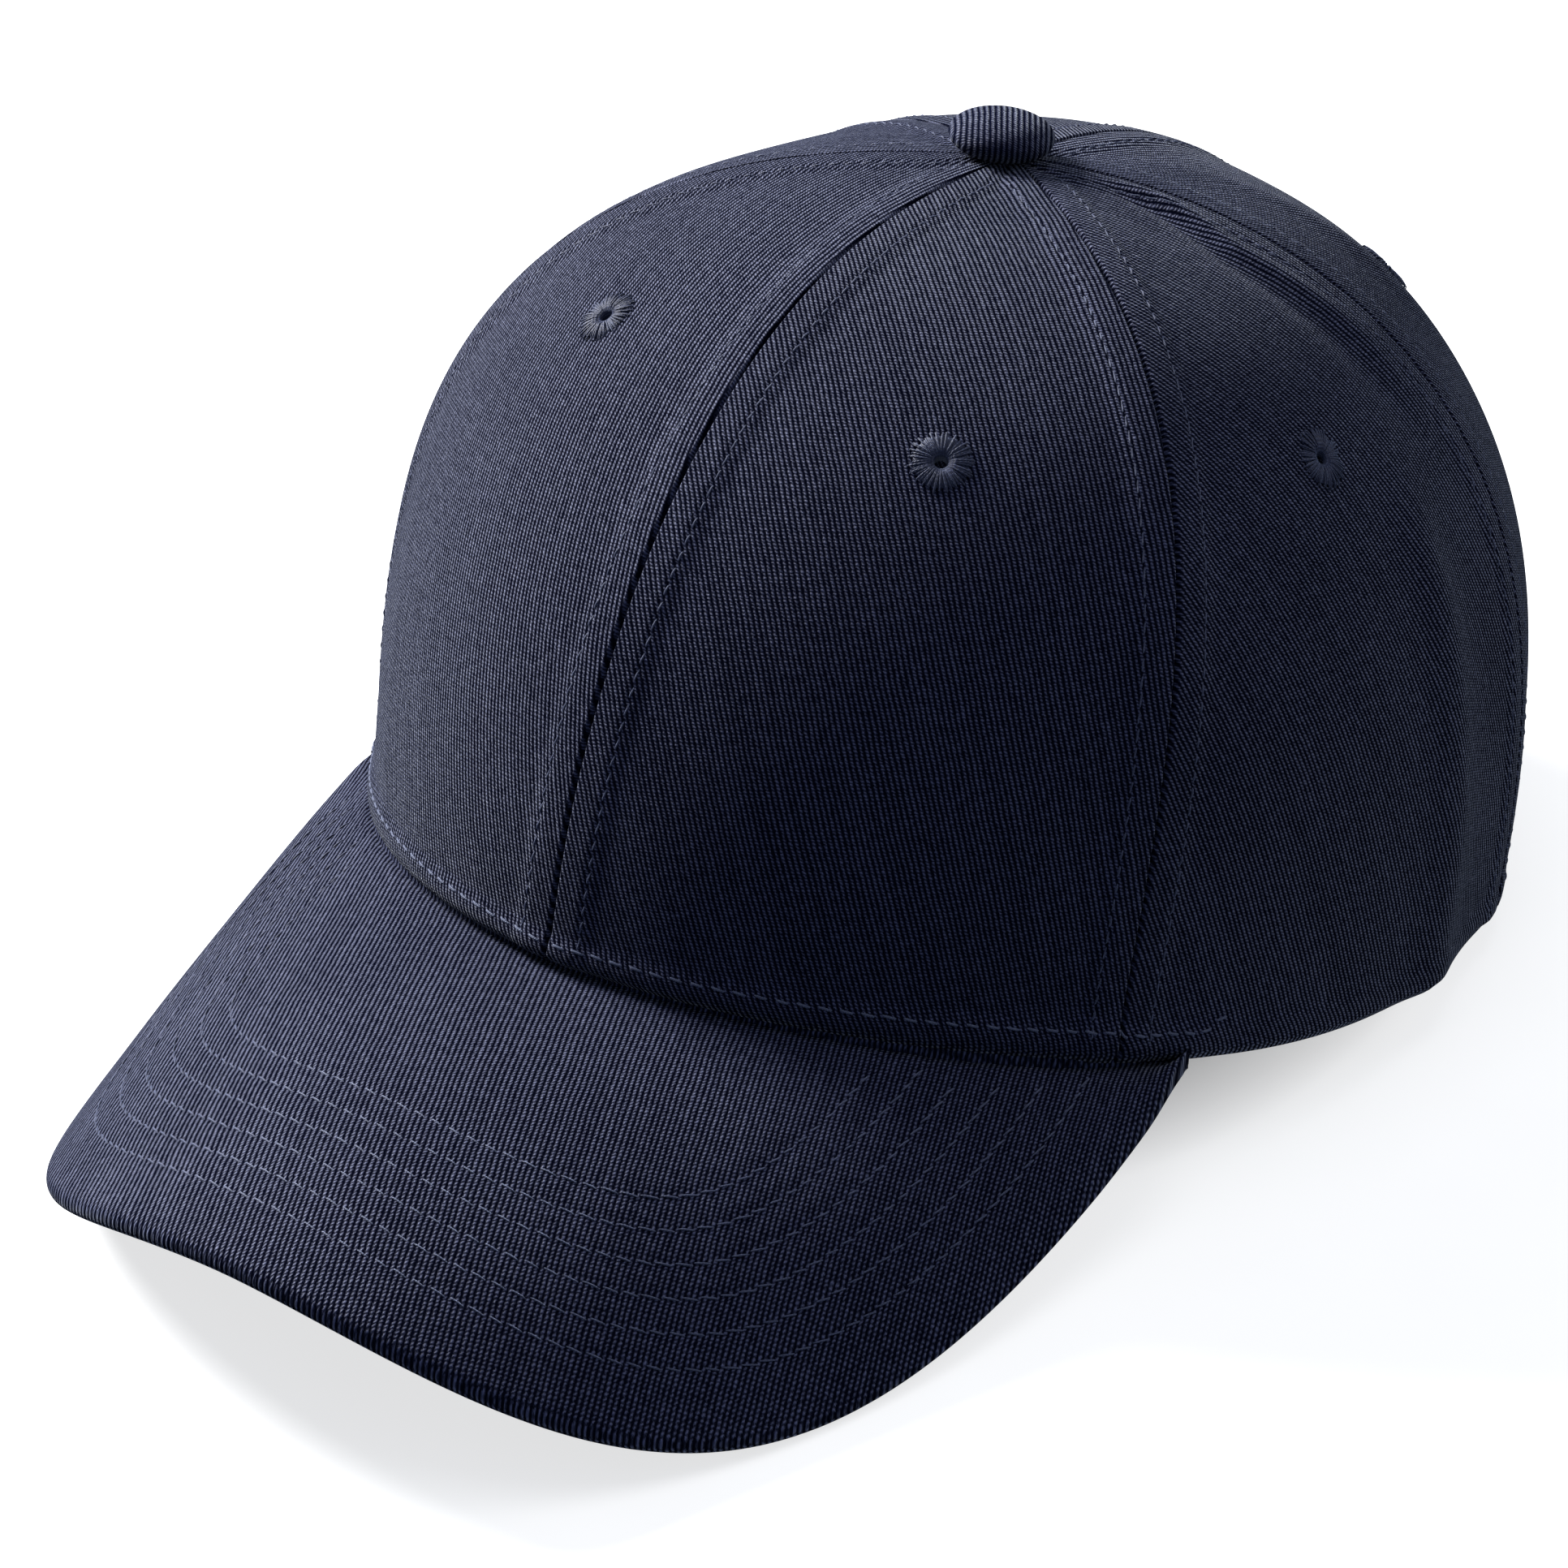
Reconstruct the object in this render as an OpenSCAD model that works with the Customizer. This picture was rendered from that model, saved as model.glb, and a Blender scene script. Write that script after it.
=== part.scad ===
// Six-panel baseball cap with a curved visor, a top button and a buckled strap at the back.
// Millimetres, +Z up. The visor points to -Y and the wearer's left is +X.
// The cap stands on a table, on the two low corners of its visor and on its back rim.
// The origin is the middle of its footprint, on the table.

/* [Crown] */
// Half width of the head opening
half_width = 84.8; // [78:0.1:92]
// Half length of the head opening
half_length = 102.4; // [94:0.1:110]
// How much wider the back half is than the front half
back_swell = 0.073; // [0:0.001:0.12]
// Height of the top above the back rim
crown_height = 111.1; // [95:0.1:130]
// How far the top sits behind the middle
apex_back = 1.3; // [-5:0.1:10]
// Angle of the front/side seam from the front
front_seam_angle = 57.2; // [50:0.1:65]
// Angle of the side/back seam from the front
back_seam_angle = 113.6; // [105:0.1:125]
// Rise of the rim at the front, fall at the sides, and two finer waves
rim_wave = [12.4, -8.3, -2.5, 1.4]; // [-20:0.1:20]
// Plan roundness of the four seams, front to back
seam_round = [2.63, 2.45, 2.12, 2.37]; // [1.8:0.01:3]
// Shoulder height of the four seams, front to back
seam_shoulder = [2.39, 2.81, 2.52, 2.25]; // [1.8:0.01:3]
// Outward bulge of the four seams
seam_bulge = [-4.0, 4.6, 3.0, 5.2]; // [-8:0.1:8]
// Backward sweep of the two side seams
seam_sweep = [0, 3.3, 0.15, 0]; // [-5:0.05:5]
// Fullness of the front, side and back panels between their seams
panel_fullness = [0.62, 0.63, 1.13]; // [0.3:0.01:1.3]
// Backward lean of the standing cap
lean = 7.7; // [0:0.1:15]

/* [Cloth] */
// Thickness of the panel cloth
cloth = 0.9; // [0.5:0.05:2]
// Half of the crease between two panels
crease = 0.15; // [0.05:0.05:0.5]
// Thickness of the stiffener behind the front panels
stiffener = 0.5; // [0.3:0.05:1]
// Width and thickness of the tape over each seam
tape = [13, 0.5]; // [0.3:0.1:20]
// Height and thickness of the sweatband
sweatband_size = [30, 1.2]; // [0.8:0.1:40]

/* [Visor] */
// Half of the visor's angle along the rim
visor_angle = 64.9; // [50:0.1:75]
// Half width of the visor
visor_half_width = 75.3; // [65:0.1:90]
// Reach of the visor from its ends to its tip
visor_reach = 129.2; // [110:0.1:145]
// Roundness of the visor's sides and of its front
visor_round = [2.31, 2.71]; // [2:0.01:3.5]
// Height of the visor's outer edge: at the tip, and four terms towards the sides
visor_edge_height = [-9.4, 14.4, -3.9, -54.1, -7.9]; // [-60:0.1:30]
// Crown of the visor from the rim to its edge
visor_crown = 3.7; // [0:0.1:10]
// Thickness of the visor's board
board = 2.4; // [1.5:0.1:4]
// Thickness of the visor with both covers
visor_thick = 4.2; // [3:0.1:6]

/* [Button and eyelets] */
// Diameter and height of the top button
button_size = [16.2, 7.3]; // [4:0.1:20]
// How far the button is sewn from the middle of the top, in X and Y
button_shift = [-1.6, -1.1]; // [-2:0.1:2]
// Outside and hole diameters of an eyelet
eyelet_size = [9.5, 2.5]; // [2:0.1:12]
// Place of the eyelet across the front, side and back panels
eyelet_across = [0.52, 0.43, 0.5]; // [0.3:0.01:0.7]
// Place of the eyelet up the front, side and back panels
eyelet_up = [0.53, 0.496, 0.56]; // [0.3:0.001:0.7]
// How much higher the right front eyelet is sewn than the left one
eyelet_skew = 0.04; // [-0.05:0.005:0.05]

/* [Back opening] */
// Half angle of the back opening at the rim
opening_angle = 28; // [15:0.5:35]
// Height of the back opening, as a share of the seam
opening_top = 0.27; // [0.15:0.01:0.4]
// Width of the binding on each face
binding = 7; // [4:0.5:12]

/* [Strap and buckle] */
// Height and thickness of the strap
strap_size = [17, 1.2]; // [1:0.1:25]
// Angle of the buckle from the middle of the back, towards the wearer's right
buckle_angle = 15; // [5:0.5:22]
// Radius of the buckle's hinge pin
pin_r = 0.8; // [0.5:0.05:1.5]
// Length of the clamp lever
lever_length = 14; // [8:0.5:20]

/* [Hidden] */
$fn = 32;

navy = [0.13, 0.15, 0.27];
seam_angle = [0, front_seam_angle, back_seam_angle, 180];
apex = [0, apex_back, crown_height];
back_centre = 21;      // the back half of the rim is an arc about this Y
back_radius = 81.4;    // and of this radius
stand = [0, 33.04, 12.66];

// ---- the crown's surface ----
function spow(a, p) = sign(a) * pow(abs(a), p);
function unit(v) = v / norm(v);
function mix(a, b, k) = a * (1 - k) + b * k;
function outward(phi) = [sin(phi), -cos(phi), 0];
function along(phi) = [cos(phi), sin(phi), 0];

function rim_z(phi) = let(c = cos(phi), s2 = 1 - c * c)
  rim_wave[0] * (1 + c) / 2 + rim_wave[1] * s2 + rim_wave[2] * s2 * c
  + rim_wave[3] * (1 - cos(4 * phi)) / 2 * (1 + c) / 2;
function rim(phi) = [half_width * sin(phi) * (1 - back_swell * cos(phi)),
                     -half_length * cos(phi), rim_z(phi)];

// A seam runs from the rim, t = 0, to the top, t = 1.
function seam(k, t) = let(phi = seam_angle[k], r = rim(phi), tau = 90 * t,
    h = pow(max(cos(tau), 0), 2 / seam_round[k]), v = pow(sin(tau), 2 / seam_shoulder[k]))
  [apex[0] + (r[0] - apex[0]) * h, apex[1] + (r[1] - apex[1]) * h, r[2] + (apex[2] - r[2]) * v]
  + outward(phi) * seam_bulge[k] * sin(2 * tau) + along(phi) * seam_sweep[k] * sin(2 * tau);

// A panel spans seam j to seam j + 1 as s goes from 0 to 1.
function flat_panel(j, s, t) = let(a = seam(j, t), b = seam(j + 1, t),
    turn = seam_angle[j + 1] - seam_angle[j], chord = norm([b[0] - a[0], b[1] - a[1]]),
    g = panel_fullness[j], full = g + (1 - g) * pow(1 - t, 2))
  mix(a, b, s) + outward((seam_angle[j] + seam_angle[j + 1]) / 2)
                 * full * chord * tan(turn / 4) / 2 * 4 * s * (1 - s);
function skin(j, s, t) = flat_panel(j, s, t)
  + (rim(mix(seam_angle[j], seam_angle[j + 1], s)) - flat_panel(j, s, 0)) * pow(1 - t, 2);
function normal(j, s, t) = let(t0 = min(max(t, 0.012), 0.985), d = 0.01)
  unit(cross(skin(j, s + d, t0) - skin(j, s - d, t0), skin(j, s, t0 + d) - skin(j, s, t0 - d)));
function on_panel(j, s, t, off) = skin(j, s, t) + normal(j, s, t) * off;
function chord(j, t) = norm(skin(j, 1, t) - skin(j, 0, t));

// The same surface, found from the angle along the rim on either side.
function panel_of(phi) = phi < front_seam_angle ? 0 : phi < back_seam_angle ? 1 : 2;
function flip(p) = [-p[0], p[1], p[2]];
function on_crown(phi, t, off) = let(a = abs(phi), j = panel_of(a),
    s = (a - seam_angle[j]) / (seam_angle[j + 1] - seam_angle[j]), p = on_panel(j, s, t, off))
  phi < 0 ? flip(p) : p;

// ---- one closed solid from rows of points: each row is a face's points, then the other's ----
module ribbon(rows) {
  n = len(rows);
  m = len(rows[0]);
  half = m / 2;
  function id(i, k) = i * m + k % m;
  sides = [for (i = [0:n - 2]) for (k = [0:m - 1])
    each [[id(i, k), id(i, k + 1), id(i + 1, k + 1)], [id(i, k), id(i + 1, k + 1), id(i + 1, k)]]];
  start = [for (k = [0:half - 2])
    each [[id(0, k), id(0, m - 1 - k), id(0, m - 2 - k)], [id(0, k), id(0, m - 2 - k), id(0, k + 1)]]];
  end = [for (k = [0:half - 2])
    each [[id(n - 1, k), id(n - 1, m - 2 - k), id(n - 1, m - 1 - k)],
          [id(n - 1, k), id(n - 1, k + 1), id(n - 1, m - 2 - k)]]];
  polyhedron(points = [for (r = rows) each r], faces = concat(sides, start, end), convexity = 6);
}
function reverse(v) = [for (i = [len(v) - 1:-1:0]) v[i]];
function steps(a, b, n) = [for (i = [0:n]) a + (b - a) * i / n];

module standing() translate(stand) rotate([-lean, 0, 0]) children();
module right() mirror([1, 0, 0]) children();

// ---- crown panels ----
layer_gap = 0.2;       // clear space between two layers
last_rise = [0.935, 0.96, 0.978, 0.988];   // the rows draw together towards the top
rise = concat(steps(0, 0.9, 13), last_rise);
arch_rise = concat([for (i = [0:8]) opening_top * sin(10 * i)], steps(opening_top, 0.9, 10), last_rise);
function edge_share(j, t) = min(crease / chord(j, t), 0.08);
function arch_share(t) = t >= opening_top ? 0
  : opening_angle / (180 - back_seam_angle) * sqrt(1 - pow(t / opening_top, 2));
module layer(j, ts, cols, s0, s1, off0, off1)
  ribbon([for (t = ts) let(e = edge_share(j, t),
      lo = max(s0, e), hi = min(s1, 1 - e) - (j == 2 ? arch_share(t) : 0))
    concat([for (c = [0:cols]) on_panel(j, mix(lo, hi, c / cols), t, off0)],
           [for (c = [cols:-1:0]) on_panel(j, mix(lo, hi, c / cols), t, off1)])]);

eyelet_room = 0.75;    // the cloth's hole is this much wider than the thread's hole on every side
module eyelet_hole(j, side) at_eyelet(j, side)
  cylinder(h = 12, r = eyelet_size[1] / 2 + eyelet_room, center = true);
module at_eyelet(j, side) {
  s = eyelet_across[j];
  t = eyelet_up[j] - (j == 0 ? side * eyelet_skew / 2 : 0);
  z = normal(j, s, t);
  x = unit(cross([0, 0, 1], z));
  y = cross(z, x);
  p = skin(j, s, t);
  multmatrix([[x[0], y[0], z[0], p[0]], [x[1], y[1], z[1], p[1]], [x[2], y[2], z[2], p[2]]])
    children();
}

module panel(j, side) color(navy) difference() {
  layer(j, j == 2 ? arch_rise : rise, 10, 0, 1, 0, -cloth);
  eyelet_hole(j, side);
}

module front_panel_left() panel(0, 1);
module front_panel_right() right() panel(0, -1);
module side_panel_left() panel(1, 1);
module side_panel_right() right() panel(1, -1);
module back_panel_left() panel(2, 1);
module back_panel_right() right() panel(2, -1);

// ---- stiffener behind each front panel ----
stiff_rise = [for (t = rise) if (t > 0.01 && t < 0.91) t];
module front_stiffener(side) color([0.85, 0.85, 0.82]) difference() {
  layer(0, stiff_rise, 10, 0.008, 0.992, -cloth - layer_gap, -cloth - layer_gap - stiffener);
  eyelet_hole(0, side);
}
module front_stiffener_left() front_stiffener(1);
module front_stiffener_right() right() front_stiffener(-1);

// ---- tapes over the seams, inside ----
tape_off = -cloth - stiffener - 0.45;   // the tape's outer face, from the crown's outer face
function half_tape(j, t) = min(tape[0] / 2, 0.4 * chord(j, t)) / chord(j, t);
function beside(k, t, side, w, off) = side < 0
  ? (k == 0 ? flip(on_panel(0, w * half_tape(0, t), t, off))
            : on_panel(k - 1, 1 - w * half_tape(k - 1, t), t, off))
  : (k == 3 ? flip(on_panel(2, 1 - w * half_tape(2, t), t, off))
            : on_panel(k, w * half_tape(k, t), t, off));
function tape_line(k, t, off) = let(a = beside(k, t, -1, 0.12, off), b = beside(k, t, 1, 0.12, off))
  [beside(k, t, -1, 1, off), beside(k, t, -1, 0.5, off), (a + b) / 2,
   beside(k, t, 1, 0.5, off), beside(k, t, 1, 1, off)];
module seam_tape(k, t0) color(navy)
  ribbon([for (t = steps(t0, 0.962, 16))
    concat(tape_line(k, t, tape_off), reverse(tape_line(k, t, tape_off - tape[1])))]);
module centre_front_tape() seam_tape(0, 0.02);
module front_side_tape_left() seam_tape(1, 0.02);
module front_side_tape_right() right() seam_tape(1, 0.02);
module side_back_tape_left() seam_tape(2, 0.02);
module side_back_tape_right() right() seam_tape(2, 0.02);
module centre_back_tape() seam_tape(3, opening_top + 0.055);

// ---- sweatband ----
// It lies inside the tapes, and further in at the back to leave room for the strap's ends.
function band_off(phi) = -2.75 - 0.8 * min(max((abs(phi) - 118) / 20, 0), 1);
band_end = 180 - opening_angle - 0.6;
band_rise = steps(0.004, 0.005 * sweatband_size[0], 4);
module sweatband() color([0.1, 0.11, 0.2])
  ribbon([for (phi = steps(-band_end, band_end, 78)) let(off = band_off(phi))
    concat([for (t = band_rise) on_crown(phi, t, off)],
           [for (t = reverse(band_rise)) on_crown(phi, t, off - sweatband_size[1])])]);

// ---- visor ----
function visor_edge(u) = let(s = 90 * u, a = spow(sin(s), 2 / visor_round[0]),
    b = pow(max(cos(s), 0), 2 / visor_round[1]), e = rim(visor_angle), x2 = a * a,
    z = visor_edge_height)
  [a * (visor_half_width + (e[0] - visor_half_width) * pow(1 - b, 3)), e[1] - visor_reach * b,
   z[0] + z[1] * x2 + z[2] * x2 * x2 + z[3] * b * x2 + z[4] * b * x2 * x2];
visor_drop = 2.75;     // the visor's middle layer starts this far under the rim
function visor_mid(u, v) = mix(rim(visor_angle * u), visor_edge(u), v)
  + [0, 0, 4 * v * (1 - v) * visor_crown - visor_drop * (1 - v)];
function visor_normal(u, v) =
  let(w = min(max(v, 0.05), 0.95), q = min(max(u, -0.93), 0.93), d = 0.01)
  unit(cross(visor_mid(q + d, w) - visor_mid(q - d, w), visor_mid(q, w - d) - visor_mid(q, w + d)));
function visor_len(u) = norm(visor_edge(u) - rim(visor_angle * u));
function on_visor(u, v, off) = visor_mid(u, v) + visor_normal(u, v) * off;
function from_edge(u, d, off) = on_visor(u, 1 - d / visor_len(u), off);
function columns(end) = [for (i = [-22:22]) let(q = end * i / 22) q * (1.5 - 0.5 * q * q)];
cover_columns = columns(0.87);
board_columns = columns(0.76);
tuck = 1.2;            // the visor reaches this far in under the crown's hem
board_edge = 2.5;      // the flat part of every layer ends this far inside the visor's outer edge
function shares(u) = [for (v = [-tuck / visor_len(u), 0.16, 0.33, 0.5, 0.66, 0.8, 0.9])
  min(v, 1 - board_edge / visor_len(u))];
// One face of a cover, r from the middle layer, rolling over the outer edge. k = 1 above, -1 below.
function cover_line(u, r, k) = concat(
  [for (v = shares(u)) on_visor(u, v, k * r)],
  [for (a = [80, 58, 36, 18, 3]) from_edge(u, visor_thick / 2 - r * cos(a), k * r * sin(a))]);
module visor_cover(k) color(navy)
  ribbon([for (u = cover_columns) let(r = visor_thick / 2,
      a = cover_line(u, r, k), b = cover_line(u, board / 2 + 0.35, k))
    k > 0 ? concat(a, reverse(b)) : concat(b, reverse(a))]);
module visor_top_cover() visor_cover(1);
module visor_under_cover() visor_cover(-1);
module visor_board() color([0.9, 0.9, 0.88])
  ribbon([for (u = board_columns) let(vs = concat(shares(u), [1 - (board_edge - 0.15) / visor_len(u)]))
    concat([for (v = vs) on_visor(u, v, board / 2)],
           [for (v = reverse(vs)) on_visor(u, v, -board / 2)])]);

// ---- button on top ----
// The dome curls under to a narrow base. Inset makes a smaller one inside it.
module at_top() translate(apex + [button_shift[0], button_shift[1], 0]) children();
under_curl = 62;       // angle below the dome's widest line at which its base is cut off
post_r = 1.1;
module dome(inset) let(r = button_size[0] / 2 - inset, h = button_size[1] / 2 - inset)
  translate([0, 0, button_size[1] / 2 + 0.05]) rotate_extrude($fn = 48)
    polygon(concat([[0, -h * sin(under_curl)]],
      [for (a = steps(-under_curl, 90, 18)) [r * pow(max(cos(a), 0), 0.9), h * sin(a)]]));
module button_cover() color(navy) at_top() difference() {
  dome(0);
  dome(0.75);
  cylinder(h = 3, r = 3.3, center = true);
}
module button_shell() color("silver") at_top() difference() {
  dome(0.85);
  dome(1.4);
  cylinder(h = button_size[1] - 0.6, r = button_size[0], center = true);
}
module button_post() color("silver") at_top() {
  translate([0, 0, -3.9]) cylinder(h = 7, r = post_r);
  translate([0, 0, 2.3]) cylinder(h = 0.8, r = 4.6);
}
module button_washer() color("silver") at_top() difference() {
  translate([0, 0, -4.2]) cylinder(h = 0.8, r = 8.5);
  translate([0, 0, -5]) cylinder(h = 3, r = post_r + 0.05);
}

// ---- stitched eyelets ----
// A ring of thread that laps over the cloth outside and again depth below it.
module thread_ring(depth) {
  hole = eyelet_size[1] / 2;
  edge = eyelet_size[0] / 2;
  rotate_extrude($fn = 28) polygon([[hole, -depth - 0.95], [hole, 1.05], [hole + 0.6, 1.25],
    [hole + 2.2, 1.15], [edge, 0.85], [edge, 0.6], [hole + 0.5, 0.6], [hole + 0.5, -depth - 0.55],
    [edge - 1, -depth - 0.55], [edge - 1, -depth - 0.8]]);
}
module eyelets() color([0.2, 0.22, 0.36])
  for (side = [1, -1]) scale([side, 1, 1])
    for (j = [0:2]) at_eyelet(j, side) thread_ring(cloth + (j == 0 ? stiffener + layer_gap : 0));

// ---- binding round the back opening ----
deg_mm = 1.5;          // rim length of one degree at the back
rise_mm = 172;         // length of the whole seam parameter at the opening
function arch(a, w, off) = on_crown(180 - (opening_angle + w / deg_mm) * cos(a),
                                    (opening_top + w / rise_mm) * sin(a), off);
function arch_pt(a, w, off) = a <= 90 ? arch(a, w, off) : flip(arch(180 - a, w, off));
// Across the binding: share of its width from the opening's edge, and height off the cloth.
fold_out = [[1, 0.72], [0.5, 0.72], [0.05, 0.72], [-0.16, 0.25], [-0.16, -1.05], [0.05, -1.54],
            [0.5, -1.54], [1, -1.54]];
fold_in = [[1, 0.3], [0.5, 0.3], [0, 0.3], [-0.08, 0.12], [-0.08, -1], [0, -1.22],
           [0.5, -1.22], [1, -1.22]];
module opening_binding() color(navy)
  ribbon([for (a = steps(0.6, 179.4, 44))
    concat([for (q = fold_out) arch_pt(a, q[0] * binding, q[1])],
           [for (q = reverse(fold_in)) arch_pt(a, q[0] * binding, q[1])])]);

// ---- strap ----
strap_in = back_radius - 3;   // radius of the strap's inner face
flat_half = 9;                // half angle of the straight run under the buckle
strap_low = 3.2;              // height of the strap's lower edge above the back rim
function strap_r(a, r) = abs(a + buckle_angle) < flat_half
  ? r * cos(flat_half) / cos(a + buckle_angle) : r;
function strap_pt(a, r) = [strap_r(a, r) * sin(a), back_centre + strap_r(a, r) * cos(a)];
strap_angles = concat(steps(-39, -buckle_angle - flat_half, 6),
                      steps(-buckle_angle + flat_half, 39, 16));
module strap() color(navy) translate([0, 0, strap_low]) linear_extrude(strap_size[0])
  polygon(concat([for (a = strap_angles) strap_pt(a, strap_in + strap_size[1])],
                 reverse([for (a = strap_angles) strap_pt(a, strap_in)])));

// ---- buckle: x runs along the strap, y points outward from the strap's inner face ----
module at_buckle() translate([0, back_centre, strap_low + strap_size[0] / 2])
  rotate([0, 0, buckle_angle]) translate([0, strap_in * cos(flat_half), 0]) children();
pin_at = [5, 2.95];
bar_at = [-10.5, -1.95];
cheek = strap_size[0] / 2 + 0.35;   // from the buckle's middle to the inner face of a cheek
module cheek_plate() linear_extrude(1) difference() {
  union() {
    hull() {
      translate(pin_at) circle(r = 1.9);
      translate([1.5, -0.6]) circle(r = 0.6);
      translate([8.4, -0.6]) circle(r = 0.6);
    }
    hull() {
      translate([8, -0.6]) circle(r = 0.6);
      translate([-7, -0.7]) circle(r = 0.7);
    }
    hull() {
      translate([-7, -0.7]) circle(r = 0.7);
      translate(bar_at) circle(r = 1.35);
    }
  }
  translate(pin_at) circle(r = pin_r + 0.03);
}
module buckle_frame() color([0.72, 0.58, 0.3]) at_buckle() {
  for (side = [0, 1]) mirror([0, 0, side]) translate([0, 0, cheek]) cheek_plate();
  translate([-7, -1.1, -cheek - 0.5]) cube([15.4, 0.95, 2 * cheek + 1]);
  translate([bar_at[0], bar_at[1], -cheek - 0.5]) cylinder(h = 2 * cheek + 1, r = 0.9);
}
module buckle_pin() color([0.72, 0.58, 0.3]) at_buckle() translate([pin_at[0], pin_at[1], 0]) {
  cylinder(h = 2 * cheek + 2.3, r = pin_r, center = true);
  for (side = [0, 1]) mirror([0, 0, side]) translate([0, 0, cheek + 1.08])
    cylinder(h = 0.5, r1 = 1.25, r2 = 0.9);
}
module buckle_lever() color([0.72, 0.58, 0.3]) at_buckle() difference() {
  union() {
    translate([pin_at[0], pin_at[1], -cheek + 0.2]) cylinder(h = 2 * cheek - 0.4, r = 1.5);
    translate([pin_at[0] - lever_length, pin_at[1] + 0.1, -cheek + 0.2])
      cube([lever_length, 1, 2 * cheek - 0.4]);
    translate([pin_at[0] - lever_length, pin_at[1] + 0.75, -cheek + 0.2])
      cylinder(h = 2 * cheek - 0.4, r = 0.75);
  }
  translate([pin_at[0], pin_at[1], -cheek - 1]) cylinder(h = 2 * cheek + 2, r = pin_r + 0.08);
}

// ---- keeper loop: round the buckle's bar and back to the opening's edge ----
bar_turn = buckle_angle + atan(-bar_at[0] / (strap_in * cos(flat_half)));
function turned(p, a) = [p[0] * cos(a) - p[1] * sin(a), p[0] * sin(a) + p[1] * cos(a)];
bar_xy = [0, back_centre] + turned([bar_at[0], strap_in * cos(flat_half) + bar_at[1]], buckle_angle);
function loop_arc(r) = [for (a = steps(90, -90, 8)) bar_xy + turned([r * cos(a), r * sin(a)], buckle_angle)];
loop_end = 30.6;       // angle at which the loop is sewn in, from the middle of the back
// One face of a leg, from the opening's edge to the bar, r0 to r1 off the strap's inner face.
function leg(r0, r1) = [for (i = [0:3]) let(a = -loop_end + (loop_end - bar_turn - 0.6) * i / 3)
  strap_pt(a, strap_in + mix(r0, r1, i / 3))];
module keeper_loop() color(navy)
  translate([0, 0, strap_low + 0.6]) linear_extrude(strap_size[0] - 1.2)
    polygon(concat(leg(-0.15, -0.15), loop_arc(1.78), reverse(leg(-1.62, -3.73)),
                   leg(-0.95, -3.02), reverse(loop_arc(1.05)), reverse(leg(-0.85, -0.85))));

// ---- everything, standing on the table ----
standing() {
  front_panel_left();
  front_panel_right();
  side_panel_left();
  side_panel_right();
  back_panel_left();
  back_panel_right();
  front_stiffener_left();
  front_stiffener_right();
  centre_front_tape();
  front_side_tape_left();
  front_side_tape_right();
  side_back_tape_left();
  side_back_tape_right();
  centre_back_tape();
  sweatband();
  visor_board();
  visor_top_cover();
  visor_under_cover();
  button_cover();
  button_shell();
  button_post();
  button_washer();
  eyelets();
  opening_binding();
  strap();
  keeper_loop();
  buckle_frame();
  buckle_pin();
  buckle_lever();
}
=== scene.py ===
"""A navy six-panel baseball cap, built round the CAD frame.

It has sewn cloth panels, single stitches, eyelets, a covered button, a curved visor and a buckled strap.
Sizes are in millimetres in the crown's own upright frame. stand() leans the cap back on its table
and gives metres.
"""

import math

import bmesh
import bpy
import numpy as np
from mathutils import Matrix, Vector


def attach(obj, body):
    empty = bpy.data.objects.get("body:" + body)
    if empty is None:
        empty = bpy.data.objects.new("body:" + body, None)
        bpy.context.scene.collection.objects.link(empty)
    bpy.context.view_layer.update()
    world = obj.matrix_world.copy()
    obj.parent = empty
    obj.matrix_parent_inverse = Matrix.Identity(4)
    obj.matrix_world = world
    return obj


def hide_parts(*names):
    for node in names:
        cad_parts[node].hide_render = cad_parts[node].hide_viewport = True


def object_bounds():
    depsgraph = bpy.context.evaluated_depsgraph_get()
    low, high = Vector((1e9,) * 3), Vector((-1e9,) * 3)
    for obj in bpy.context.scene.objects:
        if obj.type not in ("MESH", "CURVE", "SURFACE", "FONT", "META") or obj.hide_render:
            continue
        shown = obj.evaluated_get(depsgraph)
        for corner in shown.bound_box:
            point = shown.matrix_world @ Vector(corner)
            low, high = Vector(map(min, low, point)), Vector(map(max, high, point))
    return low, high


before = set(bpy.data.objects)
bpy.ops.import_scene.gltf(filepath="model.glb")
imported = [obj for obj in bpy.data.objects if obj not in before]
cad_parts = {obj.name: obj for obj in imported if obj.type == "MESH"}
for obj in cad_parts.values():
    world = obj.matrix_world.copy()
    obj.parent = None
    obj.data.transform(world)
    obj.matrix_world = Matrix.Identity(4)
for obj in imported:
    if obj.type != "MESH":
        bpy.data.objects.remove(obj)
CAD_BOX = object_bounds()
BODY = "cap"

# ---- driving sizes, the same as the CAD's: millimetres and degrees ----
HALF_WIDTH = 84.8  # of the rim, seen from above
HALF_LENGTH = 102.4
BACK_SWELL = 0.073  # the rim is this much wider behind than in front
RIM_WAVE = (12.4, -8.3, -2.5, 1.4)  # its rise in front, its dip at the sides, and two finer waves
APEX = np.array([0.0, 1.3, 111.1])  # where the panels meet, under the button
SEAM_ANGLE = (0.0, 57.2, 113.6, 180.0)  # where the seams start, from the front round the rim
SEAM_ROUND = (2.63, 2.45, 2.12, 2.37)  # how square each seam's curve is, outwards
SEAM_SHOULDER = (2.39, 2.81, 2.52, 2.25)  # and upwards
SEAM_BULGE = (-4.0, 4.6, 3.0, 5.2)  # how far each seam stands out halfway up
SEAM_SWEEP = (0.0, 3.3, 0.15, 0.0)  # and how far it bends round the crown
FULLNESS = (0.62, 0.63, 1.13)  # how round each panel is between its seams
LEAN = math.radians(7.7)  # the crown leans back on the table
STAND = np.array([0.0, 33.04, 12.66])

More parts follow.
